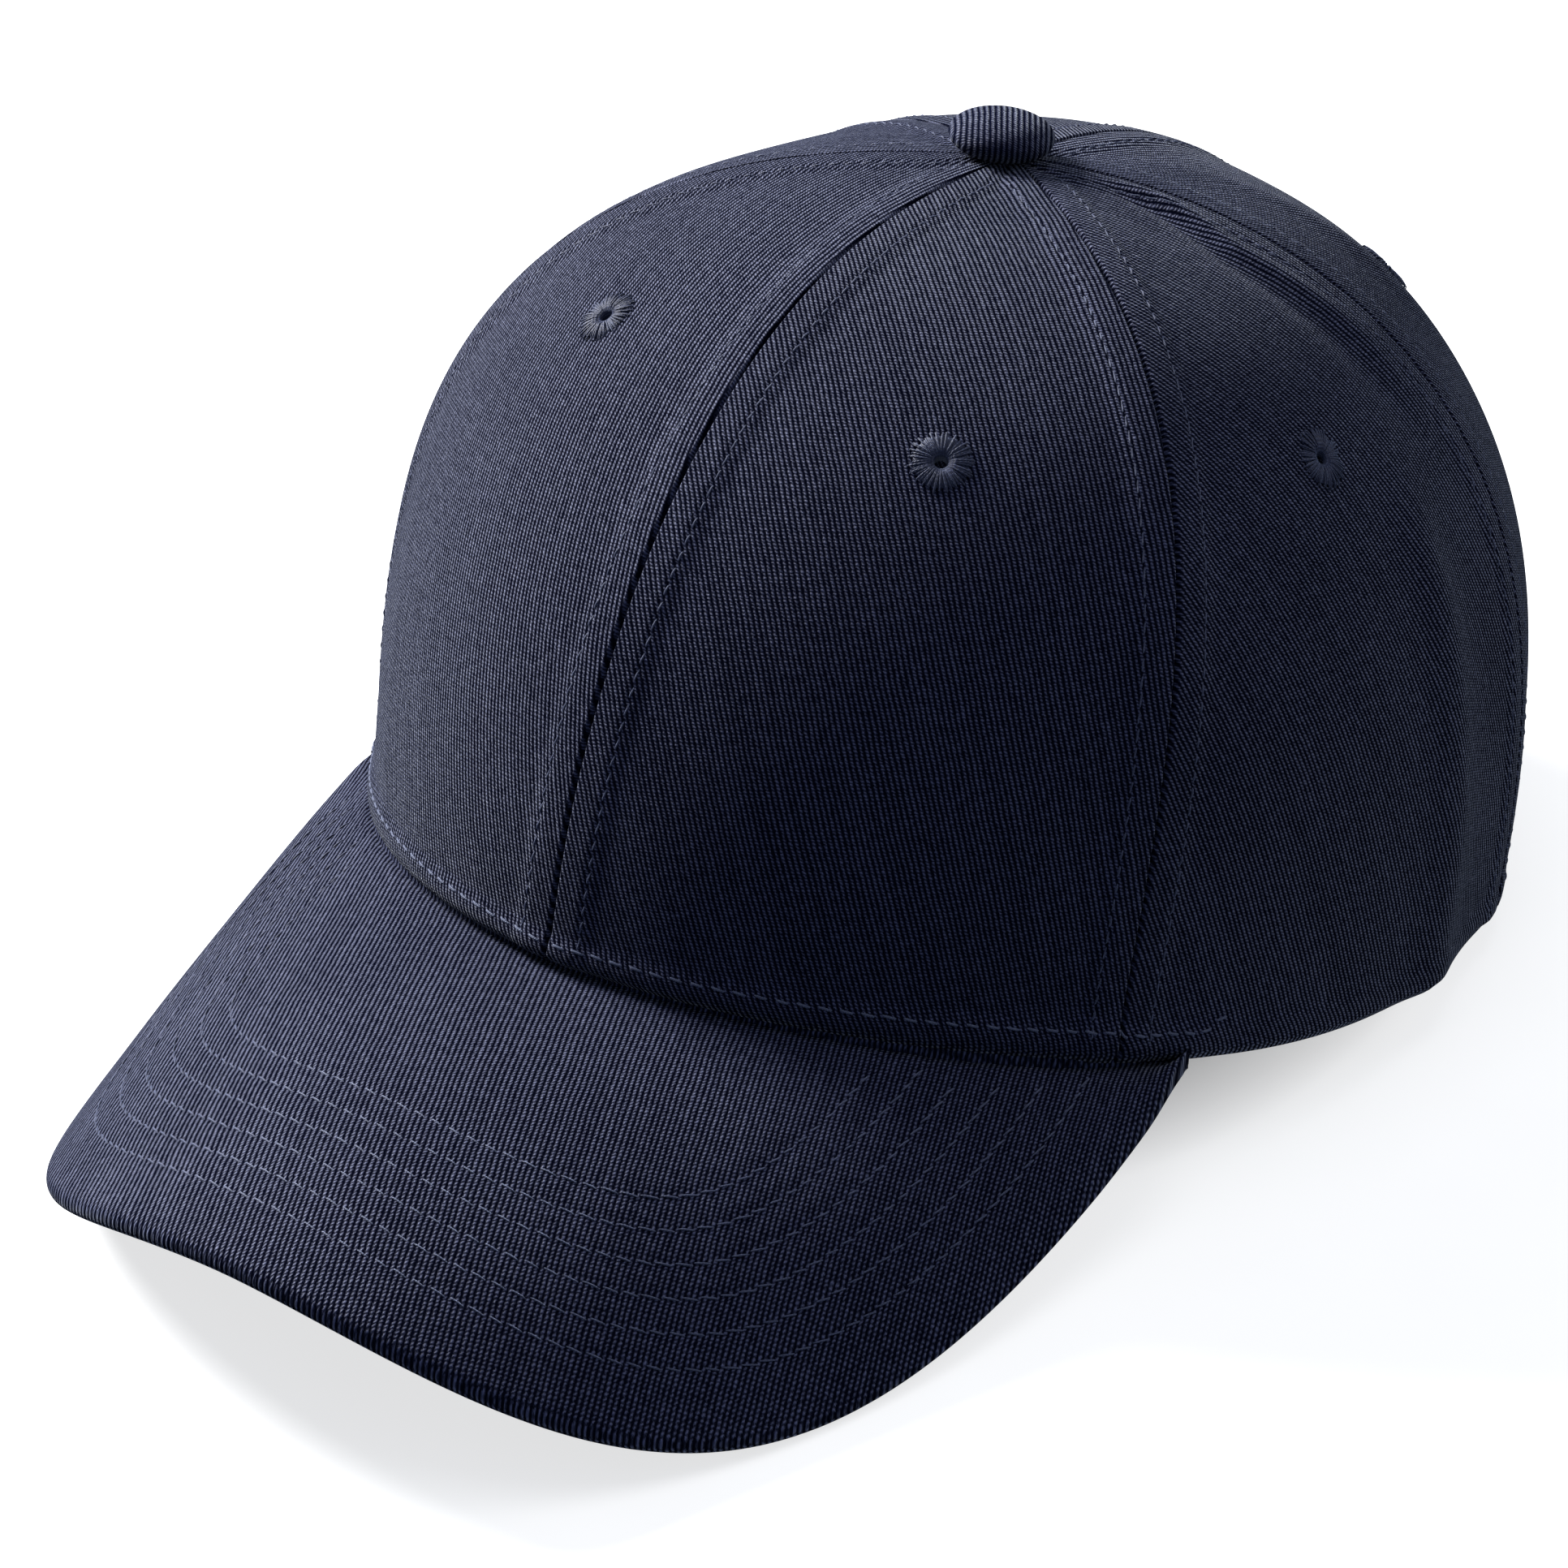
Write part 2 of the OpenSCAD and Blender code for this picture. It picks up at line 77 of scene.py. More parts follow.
CLOTH = 0.9
STIFFENER = 0.5
LAYER_GAP = 0.2
CREASE = 0.12  # half of the gap between two panels
TAPE_WIDTH = 13.0
TAPE_THICK = 0.5
BAND_THICK = 1.2

VISOR_ANGLE = 64.9  # where the visor ends on the rim
VISOR_HALF = 75.3
VISOR_REACH = 129.2
VISOR_ROUND = (2.31, 2.71)  # how square its outline is, across and forwards
VISOR_EDGE = (-9.4, 14.4, -3.9, -54.1, -7.9)  # heights that bend its outer edge
VISOR_CROWN = 3.7  # how far it is domed between crown and edge
VISOR_DROP = 2.75  # how far its inner edge hangs under the rim
VISOR_THICK = 4.2

BUTTON_R = 8.1
BUTTON_H = 7.3
BUTTON_SHIFT = np.array([-1.6, -1.1, 0.0])

EYELET_R = 4.75
EYELET_HOLE = 1.05
EYELET_AT = ((0.52, 0.53), (0.43, 0.496), (0.5, 0.56))  # across and up each panel
EYELET_SKEW = 0.04  # one front eyelet sits this much higher than the other

OPENING_ANGLE = 28.0  # half of the arched opening behind, round the rim
OPENING_TOP = 0.27  # its height as a share of the seam's
BINDING = 7.0
BACK_CENTRE = 21.0  # the strap follows a circle round this point
BACK_RADIUS = 81.4
STRAP_HIGH = 17.0
STRAP_THICK = 1.2
STRAP_LOW = 3.2
STRAP_IN = BACK_RADIUS - 3.0
BUCKLE_ANGLE = 15.0
FLAT_HALF = 9.0  # the strap is flat this far to each side of the buckle
BAR_AT = np.array([-10.5, -1.95])  # the buckle's bar, which the keeper loop goes round

# ---- sewing ----
RIB_PITCH = 0.77  # twill ribs
TOPSTITCH = 5.0  # rows of stitches lie this far from a seam
SEAM_PITCH = 2.6  # from one stitch to the next
RIM_LINE = 4.4
RIM_PITCH = 3.1
VISOR_ROWS = 6
VISOR_ROW_FIRST = 11.0  # from the visor's edge
VISOR_ROW_STEP = 4.84
VISOR_PITCH = 2.9
TURN_IN = 0.9  # how deep a panel's edge turns in
SEAM_LIFT = 0.5  # how far the folded cloth beneath raises it
SEAM_PULL = 0.32  # how deep stitches pull the cloth
RIM_PULL = 0.3
VISOR_PULL = 0.28

PANEL_NAMES = ("front", "side", "back")
SIDE_NAMES = {1: "left", -1: "right"}
SIDES = (1, -1)
rng = np.random.default_rng(7)


# ---- small maths ----
def join(*columns):
    """Columns, each an array or a number, side by side: coordinates as points, or corners as faces."""
    return np.stack(np.broadcast_arrays(*columns), -1)


def floats(*values):
    """Arrays of one shape, which may be written to."""
    return [np.array(v, float) for v in np.broadcast_arrays(*values)]


def unit(v):
    return v / np.maximum(np.linalg.norm(v, axis=-1, keepdims=True), 1e-9)


def smooth(x, low, high):
    t = np.clip((x - low) / (high - low), 0.0, 1.0)
    return t * t * (3 - 2 * t)


def ridge(x, centre, width):
    return np.exp(-((x - centre) / width) ** 2)


def power(a, p):
    return np.sign(a) * np.abs(a) ** p


def mix(a, b, k):
    k = np.asarray(k, float)[..., None]
    return a * (1 - k) + b * k


def waves(u, v, size, seed):
    """Soft, repeatable unevenness between about -1 and 1, with bumps about size mm across."""
    total = 0
    for i in range(5):
        a = 2.4 * i + 1.7 * seed
        k = 2 * math.pi / (size * (1 + 0.23 * i))
        total = total + np.sin(k * (u * math.cos(a) + v * math.sin(a)) + 2.1 * i + seed)
    return total / 3


def lengths(points):
    """Distance along a line of points, from its first."""
    return np.concatenate([[0], np.cumsum(np.linalg.norm(np.diff(points, axis=0), axis=1))])


def stand(p):
    """From the upright crown frame in millimetres to the row frame in metres."""
    c, s = math.cos(LEAN), math.sin(LEAN)
    y = p[..., 1] * c + p[..., 2] * s
    z = -p[..., 1] * s + p[..., 2] * c
    return (join(p[..., 0], y, z) + STAND) * 0.001


def turn(n):
    """A direction, from the upright crown frame to the row frame."""
    return stand(n) * 1000 - STAND


# ---- the crown's surface: s runs across a panel, t from the rim up to the button ----
def rim(phi):
    a = np.radians(phi)
    c, s = np.cos(a), np.sin(a)
    z = RIM_WAVE[0] * (1 + c) / 2 + RIM_WAVE[1] * s * s + RIM_WAVE[2] * s * s * c
    z = z + RIM_WAVE[3] * (1 - np.cos(4 * a)) / 2 * (1 + c) / 2
    return join(HALF_WIDTH * s * (1 - BACK_SWELL * c), -HALF_LENGTH * c, z)


def rim_angle(j, s):
    return SEAM_ANGLE[j] + (SEAM_ANGLE[j + 1] - SEAM_ANGLE[j]) * s


def rim_share(j, phi):
    return (phi - SEAM_ANGLE[j]) / (SEAM_ANGLE[j + 1] - SEAM_ANGLE[j])


def over_visor(j, s):
    """1 where the rim lies on the visor, and 0 from just past its end."""
    return 1 - smooth(rim_angle(j, s), VISOR_ANGLE, VISOR_ANGLE + 4)


def outward(phi):
    a = np.radians(phi)
    return join(np.sin(a), -np.cos(a), 0)


def seam(k, t):
    """Seam k's line, from the rim at t = 0 to the button at t = 1."""
    t = np.asarray(t, float)
    foot, tau = rim(SEAM_ANGLE[k]), t * math.pi / 2
    h = np.clip(np.cos(tau), 0, 1) ** (2 / SEAM_ROUND[k])
    v = np.sin(tau) ** (2 / SEAM_SHOULDER[k])
    p = APEX + (foot - APEX) * join(h, h, 0)
    p[..., 2] = foot[2] + (APEX[2] - foot[2]) * v
    push = SEAM_BULGE[k] * outward(SEAM_ANGLE[k]) + SEAM_SWEEP[k] * outward(SEAM_ANGLE[k] + 90)
    return p + np.sin(2 * tau)[..., None] * push


def flat_panel(j, s, t):
    """A panel as arcs from seam to seam, before it meets the rim's curve."""
    a, b = seam(j, t), seam(j + 1, t)
    chord = np.linalg.norm((b - a)[..., :2], axis=-1)
    span = SEAM_ANGLE[j + 1] - SEAM_ANGLE[j]
    full = FULLNESS[j] + (1 - FULLNESS[j]) * (1 - t) ** 2
    sag = full * chord * math.tan(math.radians(span / 4)) / 2 * 4 * s * (1 - s)
    return mix(a, b, s) + sag[..., None] * outward((SEAM_ANGLE[j] + SEAM_ANGLE[j + 1]) / 2)


def skin(j, s, t):
    """A panel's smooth surface, with its lower edge exactly on the rim."""
    s, t = floats(s, t)
    edge = rim(rim_angle(j, s)) - flat_panel(j, s, 0 * t)
    return flat_panel(j, s, t) + edge * ((1 - t) ** 2)[..., None]


def skin_normal(j, s, t):
    s, t = floats(s, t)
    t, d = np.clip(t, 0.012, 0.985), 0.01
    return unit(np.cross(skin(j, s + d, t) - skin(j, s - d, t), skin(j, s, t + d) - skin(j, s, t - d)))


class PanelRuler:
    """Measures one panel in millimetres: across it from its first seam, and up it from the rim."""

    def __init__(self, j):
        self.s, self.t = np.linspace(0, 1, 41), np.linspace(0, 0.99, 100)
        grid = skin(j, self.s[None, :], self.t[:, None])
        self.across = np.array([lengths(row) for row in grid])
        self.up = lengths(grid[:, 20])

    def width(self, t):
        return np.interp(t, self.t, self.across[:, -1])

    def from_seam(self, s, t):
        """Distance from the panel's first seam."""
        s, t = floats(s, t)
        x, y = np.clip(s, 0, 1) * 40, np.clip(t / 0.99, 0, 1) * 99
        i, k = np.minimum(x.astype(int), 39), np.minimum(y.astype(int), 98)
        fx, fy = x - i, y - k
        low = self.across[k, i] * (1 - fx) + self.across[k, i + 1] * fx
        high = self.across[k + 1, i] * (1 - fx) + self.across[k + 1, i + 1] * fx
        return low * (1 - fy) + high * fy

    def height(self, t):
        return np.interp(t, self.t, self.up)

    def share(self, distance, t):
        """Where a distance from the first seam lies across the panel, from 0 to 1.

        A negative distance counts back from the second seam.
        """
        out = []
        for d, at in zip(np.broadcast_to(distance, np.shape(t)), t):
            k = min(int(at / 0.99 * 99), 98)
            f = at / 0.99 * 99 - k
            row = self.across[k] * (1 - f) + self.across[k + 1] * f
            out.append(np.interp(d if d >= 0 else row[-1] + d, row, self.s))
        return np.array(out)


RULERS = [PanelRuler(j) for j in range(3)]


# ---- relief of the sewn cloth, out from the smooth surface ----
def seam_relief(d, v):
    """The edge turns in at the seam, the folded cloth beneath lifts it, and the stitches pull it down."""
    turned = -TURN_IN * np.clip(1 - d / 0.6, 0, 1) ** 2
    lifted = SEAM_LIFT * smooth(d, 0.0, 0.35) * (1 - smooth(d, 4.6, 7.2))
    pull = 0.6 + 0.4 * np.cos(2 * math.pi * v / SEAM_PITCH)
    return turned + lifted - SEAM_PULL * ridge(d, TOPSTITCH, 0.5) * pull


def rim_relief(j, s, v):
    """The rim turns in. Over the visor it is stitched down on a line."""
    on_visor = over_visor(j, s)
    turned = -TURN_IN * np.clip(1 - v / 1.1, 0, 1) ** 2
    band = (0.28 + 0.55 * on_visor) * smooth(v, 0.2, 1.5) * (1 - smooth(v, 4.2, 6.2))
    return turned + band - RIM_PULL * on_visor * ridge(v, RIM_LINE, 0.6)


def folds(j, side, s, t):
    """Soft folds and hollows. The stiffened front panels have almost none."""
    if j == 0:
        fade = smooth(t, 0.05, 0.3) * (1 - smooth(t, 0.8, 0.95))
        return 0.25 * waves(s * 60, t * 120, 75, 3 + side) * fade
    fade = smooth(t, 0.0, 0.12) * (1 - smooth(t, 0.86, 0.97))
    fade = fade * smooth(s, 0.02, 0.12) * (1 - smooth(s, 0.88, 0.98))
    soft = 0.4 * waves(s * 80, t * 130, 46, j + 2 * side) * fade * (1 - 0.7 * smooth(t, 0.7, 0.9))
    if j == 1 and side > 0:
        line = 0.66 + 0.10 * (0.35 - t) * (t < 0.35)
        fold = 1.3 * ridge(s, line, 0.06) * (1 - smooth(t, 0.32, 0.5))
        hollow = -0.8 * ridge(s, line + 0.16, 0.09) * (1 - smooth(t, 0.3, 0.55))
        crease_at = np.interp(t, [0.5, 0.6, 0.68, 0.76, 0.86], [0.90, 0.88, 0.84, 0.80, 0.86])
        upper = smooth(t, 0.42, 0.6) * (1 - smooth(t, 0.84, 0.94))
        crease = 0.9 * ridge(s, crease_at, 0.05) - 0.6 * ridge(s, crease_at - 0.11, 0.06)
        return soft + fold + hollow + crease * upper
    slack = 0.9 * ridge(s - 0.45 * (t - 0.55), 0.3, 0.07) * ridge(t, 0.62, 0.16)
    return soft + slack * (j == 2)


def relief(j, side, s, t):
    """Everything that stands out from or sinks below the smooth panel."""
    ruler = RULERS[j]
    u, v = ruler.from_seam(s, t), ruler.height(t)
    width = ruler.width(t)
    shrink = np.clip(width / 14, 0.2, 1)
    both = seam_relief(u / shrink, v) + seam_relief((width - u) / shrink, v)
    return both + rim_relief(j, s, v) + folds(j, side, s, t)


def crown(j, side, s, t, off=0.0, plain=False):
    """Points of a sewn panel, off millimetres out from its cloth, in metres in the row frame."""
    bump = 0 if plain else relief(j, side, s, t)
    p = skin(j, s, t) + skin_normal(j, s, t) * (np.asarray(off) + bump)[..., None]
    p[..., 0] *= side
    p[..., 2] -= hem_drop(j, s, t)
    return stand(p)


def hem_drop(j, s, t):
    """Over the visor the hem hangs down onto it."""
    return 0.1 * over_visor(j, s) * (1 - smooth(RULERS[j].height(t), 0, 1.6))


def crown_normal(j, side, s, t):
    n = skin_normal(j, s, t)
    n[..., 0] *= side
    return turn(n)


def on_rim(phi, t, off):
    """A point of the smooth crown found from its angle along the rim, on either side."""
    phi, t = floats(phi, t)
    out = np.zeros(phi.shape + (3,))
    a = np.abs(phi)
    for j in range(3):
        here = (a >= SEAM_ANGLE[j]) & (a <= SEAM_ANGLE[j + 1])
        s = rim_share(j, a[here])
        offs = np.broadcast_to(off, phi.shape)[here]
        out[here] = skin(j, s, t[here]) + skin_normal(j, s, t[here]) * offs[..., None]
    out[..., 0] *= np.sign(phi + 1e-9)
    return out


# ---- mesh building ----
def add_object(name, data):
    obj = bpy.data.objects.new(name, data)
    bpy.context.scene.collection.objects.link(obj)
    return obj


def make(name, verts, faces, material, uv, sharp):
    """One piece from points, faces of equal size and a layer of cloth coordinates, riding on the cap."""
    mesh = bpy.data.meshes.new(name)
    verts = np.asarray(verts, float).reshape(-1, 3)
    faces = np.asarray(faces, np.int32)
    corners = faces.shape[1]
    mesh.vertices.add(len(verts))
    mesh.vertices.foreach_set("co", verts.ravel())
    mesh.loops.add(faces.size)
    mesh.loops.foreach_set("vertex_index", faces.ravel())
    mesh.polygons.add(len(faces))
    mesh.polygons.foreach_set("loop_start", np.arange(0, faces.size, corners, dtype=np.int32))
    mesh.polygons.foreach_set("loop_total", np.full(len(faces), corners, np.int32))
    layer = mesh.uv_layers.new(name="cloth")
    layer.data.foreach_set("uv", np.asarray(uv, float).reshape(-1, 2)[faces.ravel()].ravel())
    mesh.validate(clean_customdata=False)
    mesh.update()
    mesh.shade_smooth()
    mesh.set_sharp_from_angle(angle=math.radians(sharp))
    mesh.materials.append(material)
    obj = add_object(name, mesh)
    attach(obj, BODY)
    return obj


def grid_faces(rows, cols, start=0, flip=False, wrap=False):
    """Four-sided faces over a grid of points, or over rings of them."""
    i, k = np.meshgrid(np.arange(rows - 1), np.arange(cols if wrap else cols - 1), indexing="ij")
    k2 = (k + 1) % cols
    a, b, c, d = i * cols + k, i * cols + k2, (i + 1) * cols + k2, (i + 1) * cols + k
    quads = np.stack([a, b, c, d] if not flip else [d, c, b, a], -1).reshape(-1, 4)
    return quads + start


def shell(outer, inner, keep=None):
    """Vertices and faces of a closed sheet between two grids of points. Keep says which cells are there."""
    rows, cols = outer.shape[:2]
    n = rows * cols
    keep = np.ones((rows - 1, cols - 1), bool) if keep is None else keep
    quads = grid_faces(rows, cols)[keep.ravel()]
    faces = [quads, quads[:, ::-1] + n]
    ring = np.pad(keep, 1)
    missing = (~ring[:-2, 1:-1], ~ring[1:-1, 2:], ~ring[2:, 1:-1], ~ring[1:-1, :-2])
    for side, gone in enumerate(missing):
        edge = quads[gone[keep]]
        a, b = edge[:, side], edge[:, (side + 1) % 4]
        faces.append(join(b, a, a + n, b + n))
    faces = np.concatenate(faces)
    used, faces = np.unique(faces, return_inverse=True)
    return used, faces.reshape(-1, 4)


def cloth_piece(node, outer, inner, uv, material, sharp=40, keep=None, mirrored=False):
    """A closed sheet of cloth in place of the CAD node of that name."""
    if mirrored:
        outer, inner, uv = outer[:, ::-1], inner[:, ::-1], uv[:, ::-1]
        keep = keep if keep is None else keep[:, ::-1]
    used, faces = shell(outer, inner, keep)
    verts = np.concatenate([outer.reshape(-1, 3), inner.reshape(-1, 3)])[used]
    both = np.tile(uv.reshape(-1, 2), (2, 1))[used]
    obj = make(node + "_cloth", verts, faces, MATERIALS[material], both, sharp)
    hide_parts(node)
    return obj


def loft(node, loops, uv, material, sharp):
    """A closed solid through rings of points, with fans at both ends, in place of a CAD node."""
    rows, cols = loops.shape[:2]
    faces = grid_faces(rows, cols, wrap=True)
    ends = [loops[0].mean(0), loops[-1].mean(0)]
    n = rows * cols
    k = np.arange(cols)
    k2 = (k + 1) % cols
    first = join(np.full(cols, n), k2, k)
    last = join(np.full(cols, n + 1), n - cols + k, n - cols + k2)
    verts = np.concatenate([loops.reshape(-1, 3), ends])
    uvs = np.concatenate([uv.reshape(-1, 2), [uv[0].mean(0), uv[-1].mean(0)]])
    obj = make(node + "_cloth", verts, faces, MATERIALS[material], uvs, sharp)
    cap_ends(obj, np.concatenate([first, last]), uvs)
    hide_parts(node)


def cap_ends(obj, tris, uvs):
    """Closes both ends with fans of triangles."""
    bm = bmesh.new()
    bm.from_mesh(obj.data)
    bm.verts.ensure_lookup_table()
    layer = bm.loops.layers.uv.get("cloth")
    for tri in tris:
        face = bm.faces.new([bm.verts[i] for i in tri])
        face.smooth = True
        for loop in face.loops:
            loop[layer].uv = uvs[loop.vert.index]
    bmesh.ops.recalc_face_normals(bm, faces=bm.faces)
    bm.to_mesh(obj.data)
    bm.free()


# ---- threads ----
def circles(x, y, count):
    """Circles of radius 1 in the planes of many directions x and y."""
    a = np.arange(count) * 2 * math.pi / count
    return np.cos(a)[:, None] * x[:, :, None] + np.sin(a)[:, None] * y[:, :, None]


def copies(faces, count, points, start=0):
    """The faces of one small mesh, repeated for many whose points follow each other."""
    return (faces[None] + (np.arange(count) * points + start)[:, None, None]).reshape(-1, 4)


def along_line(points, values, at):
    """The values of a line's points, at set distances along the line."""
    return join(*(np.interp(at, lengths(points), column) for column in values.T))


def stitch_arrays(points, normals, pitch, radius, duty, slant):
    """One row of stitches: each is a short, taut thread that dips into the cloth at both ends. Metres."""
    total = lengths(points)[-1]
    count = int(total / pitch)
    if count < 1:
        return None
    start = (np.arange(count) + 0.5 * (total / pitch - count)) * pitch
    size = pitch * duty * (1 + 0.08 * rng.uniform(-1, 1, count))
    k = np.linspace(0, 1, 7)
    at = start[:, None] + (pitch - size)[:, None] / 2 + size[:, None] * k[None, :]
    p, n = along_line(points, points, at), unit(along_line(points, normals, at))
    lift = radius * (1.3 * np.sin(math.pi * k) ** 0.45 - 0.95)
    side = unit(np.cross(unit(np.gradient(p, axis=1)), n))
    jog = slant * radius * (2 * k - 1)[None, :] + radius * 0.35 * rng.uniform(-1, 1, count)[:, None]
    p = p + n * lift[None, :, None] + side * jog[..., None]
    slim = 0.5 + 0.5 * np.sin(math.pi * k) ** 0.4
    verts = p[:, :, None] + circles(n, side, 6) * (radius * slim)[None, :, None, None]
    return verts.reshape(-1, 3), count


def stitches(name, rows, pitch, radius, duty=0.78, slant=0.8, material="thread"):
    """All rows of one kind in one piece. Each row is (points, normals) in metres."""
    verts, faces, uvs, n = [], [], [], 0
    quads = grid_faces(7, 6, wrap=True)
    ends = np.array([[5, 4, 3, 2], [5, 2, 1, 0], [36, 37, 38, 39], [36, 39, 40, 41]])
    one = np.concatenate([quads, ends])
    uv = join(np.linspace(0, 1, 7)[:, None] * pitch, np.arange(6) / 6)
    for points, normals in rows:
        made = stitch_arrays(points, normals, pitch * 0.001, radius * 0.001, duty, slant)
        if made is None:
            continue
        v, count = made
        verts.append(v)
        faces.append(copies(one, count, 42, n))
        uvs.append(np.tile(uv.reshape(-1, 2), (count, 1)))
        n += count * 42
    return make(name, np.concatenate(verts), np.concatenate(faces), MATERIALS[material],
                np.concatenate(uvs), 70)


# ---- node materials ----
class Nodes:
    """Short calls for building one node tree."""

    def __init__(self, name):
        self.material = bpy.data.materials.new(name)
        self.material.use_nodes = True
        self.tree = self.material.node_tree
        self.shader = self.tree.nodes["Principled BSDF"]

    def add(self, kind, settings=None, inputs=None):
        node = self.tree.nodes.new(kind)
        for key, value in (settings or {}).items():
            setattr(node, key, value)
        for key, value in (inputs or {}).items():
            self.put(node.inputs[key], value)
        return node

    def put(self, socket, value):
        if isinstance(value, bpy.types.NodeSocket):
            self.tree.links.new(value, socket)
        elif isinstance(value, bpy.types.Node):
            self.tree.links.new(value.outputs[0], socket)
        else:
            socket.default_value = value

    def math(self, operation, a, b=0.0, c=0.0):
        node = self.add("ShaderNodeMath", {"operation": operation})
        for socket, value in zip(node.inputs, (a, b, c)):
            self.put(socket, value)
        return node.outputs[0]

    def vector_math(self, operation, inputs):
        return self.add("ShaderNodeVectorMath", {"operation": operation}, inputs)

    def plus(self, a, b):
        return self.math("ADD", a, b)

    def times(self, a, b):
        return self.math("MULTIPLY", a, b)

    def times_plus(self, a, b, c):
        return self.math("MULTIPLY_ADD", a, b, c)

    def vary(self, base, noise, amount):
        """The base, moved up or down by a noise that lies round one half."""
        return self.times_plus(self.math("SUBTRACT", noise, 0.5), amount, base)

    def wave(self, turns):
        """From 1 down to 0 and back in each turn."""
        return self.times_plus(self.math("COSINE", self.times(turns, 2 * math.pi)), 0.5, 0.5)

    def place(self):
        return self.add("ShaderNodeTexCoord").outputs["Object"]

    def uv(self):
        uv = self.add("ShaderNodeUVMap", {"uv_map": "cloth"})
        parts = self.add("ShaderNodeSeparateXYZ", inputs={0: uv})
        return uv.outputs[0], parts.outputs[0], parts.outputs[1]

    def noise(self, vector, scale, detail=3.0, rough=0.5):
        settings = {"Vector": vector, "Scale": scale, "Detail": detail, "Roughness": rough}
        return self.add("ShaderNodeTexNoise", inputs=settings).outputs[0]

    def ramp(self, value, low, high):
        return self.add("ShaderNodeMapRange", inputs={0: value, 1: low, 2: high, 3: 0.0, 4: 1.0}).outputs[0]

    def blend(self, factor, a, b):
        return self.add("ShaderNodeMix", {"data_type": "RGBA"}, {0: factor, 6: a, 7: b}).outputs[2]

    def bump(self, height, distance, strength):
        settings = {"Height": height, "Distance": distance * 0.001, "Strength": strength}
        return self.add("ShaderNodeBump", inputs=settings).outputs[0]

    def finish(self, colour, rough, normal=None, **more):
        self.put(self.shader.inputs["Base Color"], colour)
        self.put(self.shader.inputs["Roughness"], rough)
        if normal is not None:
            self.put(self.shader.inputs["Normal"], normal)
        for key, value in more.items():
            self.put(self.shader.inputs[key.replace("_", " ")], value)
        return self.material


def shade(colour, k):
    """A colour made k times as bright."""
    return [c * k for c in colour[:3]] + [1.0]


def twill(name, colour, lean, pitch=RIB_PITCH, contrast=1.0):
    """Slanting ribs of beaded yarn. The cloth layer gives millimetres across and up the piece.

    Each rib is uneven along its length and its yarn has fibres and slubs. Its colour also carries painted
    light: a painted highlight on each rib's top and painted shade in the gaps between ribs.
    """
    n = Nodes(name)
    vector, u, v = n.uv()
    c, s = math.cos(math.radians(lean)), math.sin(math.radians(lean))
    wander = n.vary(0.0, n.noise(vector, 0.09, 2.0), 0.6)
    jitter = n.vary(wander, n.noise(vector, 1.9, 2.0, 0.7), 0.4)
    across = n.times_plus(u, c, n.times_plus(v, -s, jitter))
    along = n.times_plus(u, s, n.times(v, c))
    rib_at = n.math("DIVIDE", across, pitch)
    rib = n.wave(rib_at)
    number = n.math("FLOOR", n.plus(rib_at, 0.5))
    within = n.math("SUBTRACT", rib_at, number)
    uneven = n.noise(vector, 1.1, 2.0, 0.6)
    step = n.times_plus(number, 0.37, n.times_plus(uneven, 0.9, within))
    bead_at = n.plus(n.math("DIVIDE", along, pitch * 0.72), step)
    bead = n.wave(bead_at)
    height = n.times(n.math("POWER", rib, 0.7), n.times_plus(bead, 0.5, 0.5))
    fibre = n.noise(vector, 6.5, 2.0, 0.8)
    slub = n.noise(vector, 0.8, 3.0, 0.6)
    patch = n.noise(vector, 0.03, 3.0, 0.6)
    yarn = n.add("ShaderNodeTexWhiteNoise", {"noise_dimensions": "1D"}, {"W": number}).outputs[0]
    tone = n.vary(height, fibre, 1.35)
    tone = n.vary(tone, yarn, 0.07)
    tone = n.vary(tone, slub, 0.5)
    tone = n.vary(tone, patch, 0.2)
    # painted highlight on the rib tops and painted shade in the gaps between them: the colour runs from 0.2
    # times the cloth's in the gaps to 3.9 times on the tops, while the fibre, slub, yarn and patch noise
    # add real yarn unevenness; sheen and specular follow the same mask
    yarn_tone_and_painted_rib_light = n.math("POWER", n.ramp(tone, 0.1, 1.05), 2.2)
    tint = n.blend(yarn_tone_and_painted_rib_light, shade(colour, 1 - 0.8 * contrast), shade(colour, 1 + 2.9 * contrast))
    lifted = n.times_plus(fibre, 0.35, height)
    normal = n.bump(lifted, 0.2, 1.0)
    rough = n.times_plus(fibre, 0.2, 0.56)
    sheen = n.times(yarn_tone_and_painted_rib_light, 0.6)
    return n.finish(tint, rough, normal, Sheen_Weight=sheen, Sheen_Roughness=0.4,
                    Sheen_Tint=[0.76, 0.80, 0.84, 1.0], Specular_IOR_Level=n.times(yarn_tone_and_painted_rib_light, 0.7))


def plain_weave(name, colour, pitch, depth=0.1, open_weave=0.0):
    """Warp and weft over and under."""
    n = Nodes(name)
    vector, u, v = n.uv()
    wobble = n.vary(0.0, n.noise(vector, 0.5, 2.0), 0.3)
    a = n.times(n.plus(u, wobble), math.pi / pitch)
    b = n.times(n.plus(v, wobble), math.pi / pitch)
    over = n.times(n.math("SINE", a), n.math("SINE", b))
    height = n.times_plus(over, 0.5, 0.5)
    fibre = n.noise(vector, 6.0, 2.0, 0.7)
    tone = n.ramp(n.vary(height, fibre, 0.8), 0.05, 1.05)
    tint = n.blend(tone, shade(colour, 0.45 - 0.3 * open_weave), shade(colour, 1.35))
    return n.finish(tint, 0.85, n.bump(height, depth, 0.8), Sheen_Weight=0.15, Specular_IOR_Level=0.2)


